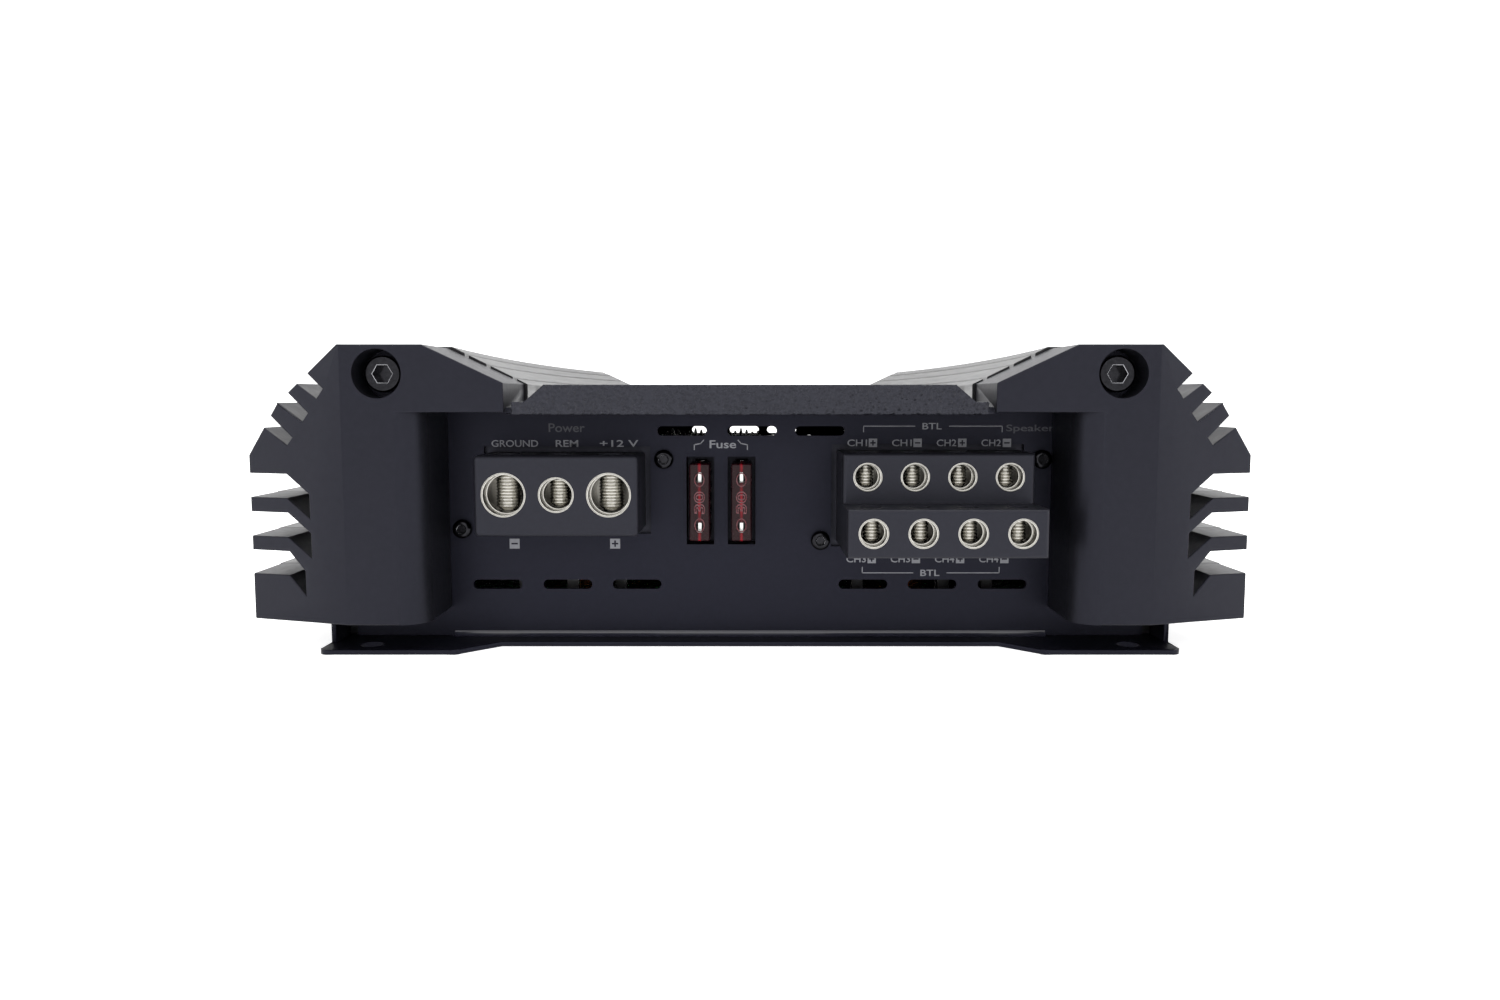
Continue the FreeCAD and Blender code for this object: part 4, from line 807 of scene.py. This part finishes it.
# %% Panel foot
# Painted highlight: lighter than the powder coat of the panel.
finishes["powder_fold"] = finish(
    "powder_coat_pooled_in_fold", "#1c1c24", "#272732", (0.16, 0.24),
    grain=2.0, relief=0.004)
FOLD_RADIUS = 1.3
FOLD_STEPS = 6
FOLD_HALF_LENGTH = 74.5 * MM
TRAY_THICKNESS = 1.2 * MM
for end, facing in (("front", -1), ("rear", 1)):
    low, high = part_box(end + "_panel")
    face = low[1] if facing < 0 else high[1]
    tray_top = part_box("base_tray")[0][2] + TRAY_THICKNESS
    outline = [(0, 0)]
    for step in range(FOLD_STEPS + 1):
        a = math.pi / 2 * step / FOLD_STEPS
        outline.append((FOLD_RADIUS * (1 - math.sin(a)),
                        FOLD_RADIUS * (1 - math.cos(a))))
    fold = bmesh.new()
    ends = [[fold.verts.new((side * FOLD_HALF_LENGTH,
                             face + facing * y * MM, tray_top + z * MM))
             for y, z in outline]
            for side in (-1, 1)]
    for k in range(len(outline)):
        n = (k + 1) % len(outline)
        fold.faces.new((ends[0][k], ends[0][n], ends[1][n], ends[1][k]))
    for row in ends:
        fold.faces.new(row)
    bmesh.ops.recalc_face_normals(fold, faces=fold.faces)
    mesh = bpy.data.meshes.new(end + "_panel_fold")
    fold.to_mesh(mesh)
    fold.free()
    mesh.materials.append(finishes["powder_fold"])
    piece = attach(new_object(end + "_panel_fold", mesh), "amplifier")
print("fold radius:", FOLD_RADIUS, "mm")

# %% [markdown]
# ## The studio
# The object stands on a pale floor that curves up on all sides into a
# backdrop, like a shallow bowl, so that no edge or horizon shows from any
# angle. A bowl is a profile turned round the upright axis: flat in the
# middle, then a quarter circle. The paint glows a little, so that the
# object's shadow hardly marks it and its underside isn't lost in black.

# %% Floor and backdrop
FLAT_RADIUS = 2.0
BACK_RADIUS = 1.2
ARC_STEPS = 12
profile = [(FLAT_RADIUS + BACK_RADIUS * math.sin(a),
            BACK_RADIUS * (1 - math.cos(a)))
           for a in (math.pi / 2 * s / ARC_STEPS
                     for s in range(ARC_STEPS + 1))]
bowl = bmesh.new()
bmesh.ops.create_circle(bowl, cap_ends=True, radius=FLAT_RADIUS, segments=96)
edge_loop = list(bowl.edges)
for (r0, z0), (r1, z1) in zip(profile, profile[1:]):
    grown = bmesh.ops.extrude_edge_only(bowl, edges=edge_loop)["geom"]
    edge_loop = [g for g in grown if isinstance(g, bmesh.types.BMEdge)]
    for vertex in (g for g in grown if isinstance(g, bmesh.types.BMVert)):
        flat = Vector(vertex.co[:2]).normalized() * r1
        vertex.co = (flat.x, flat.y, z1)
for face in bowl.faces:
    face.smooth = True
bowl_mesh = bpy.data.meshes.new("studio_floor")
bowl.to_mesh(bowl_mesh)
bowl.free()
plaster = finish("painted_plaster", "#bcbcbc", "#f4f4f4", (0.85, 0.95),
                 grain=30.0, relief=0.02, Emission_Strength=0.85)
bowl_mesh.materials.append(plaster)
new_object("studio_floor", bowl_mesh)
print("floor radius:", FLAT_RADIUS, "m")

# %% [markdown]
# ## Lights
# A black object is drawn by what it reflects, so its lights are large and
# soft. One wide softbox hangs overhead and rakes the sloping fins, two
# weak ones at the sides edge the columns, and another fills the front.

# %% Lights
def softbox(name, place, target, size, watts):
    """A rectangular area light aimed at a point."""
    light = bpy.data.lights.new(name, "AREA")
    light.shape = "RECTANGLE"
    light.size, light.size_y = size
    light.energy = watts
    lamp = bpy.data.objects.new(name, light)
    scene.collection.objects.link(lamp)
    lamp.location = place
    aim = Vector(target) - Vector(place)
    lamp.rotation_euler = aim.to_track_quat("-Z", "Y").to_euler()
    return lamp


softbox("overhead", (0, 0.1, 0.95), (0, 0, 0), (1.5, 1.1), 14)
softbox("left", (-0.9, -0.45, 0.35), (0, -0.1, 0.05), (0.6, 0.6), 1.2)
softbox("right", (0.9, -0.45, 0.35), (0, -0.1, 0.05), (0.6, 0.6), 1.2)
softbox("front", (0, -1.0, 0.55), (0, -0.15, 0.05), (1.0, 0.4), 2)
world = bpy.data.worlds.new("pale room")
world.use_nodes = True
sky = world.node_tree.nodes["Background"]
sky.inputs["Color"].default_value = linear("#ffffff")
sky.inputs["Strength"].default_value = 1.05
scene.world = world
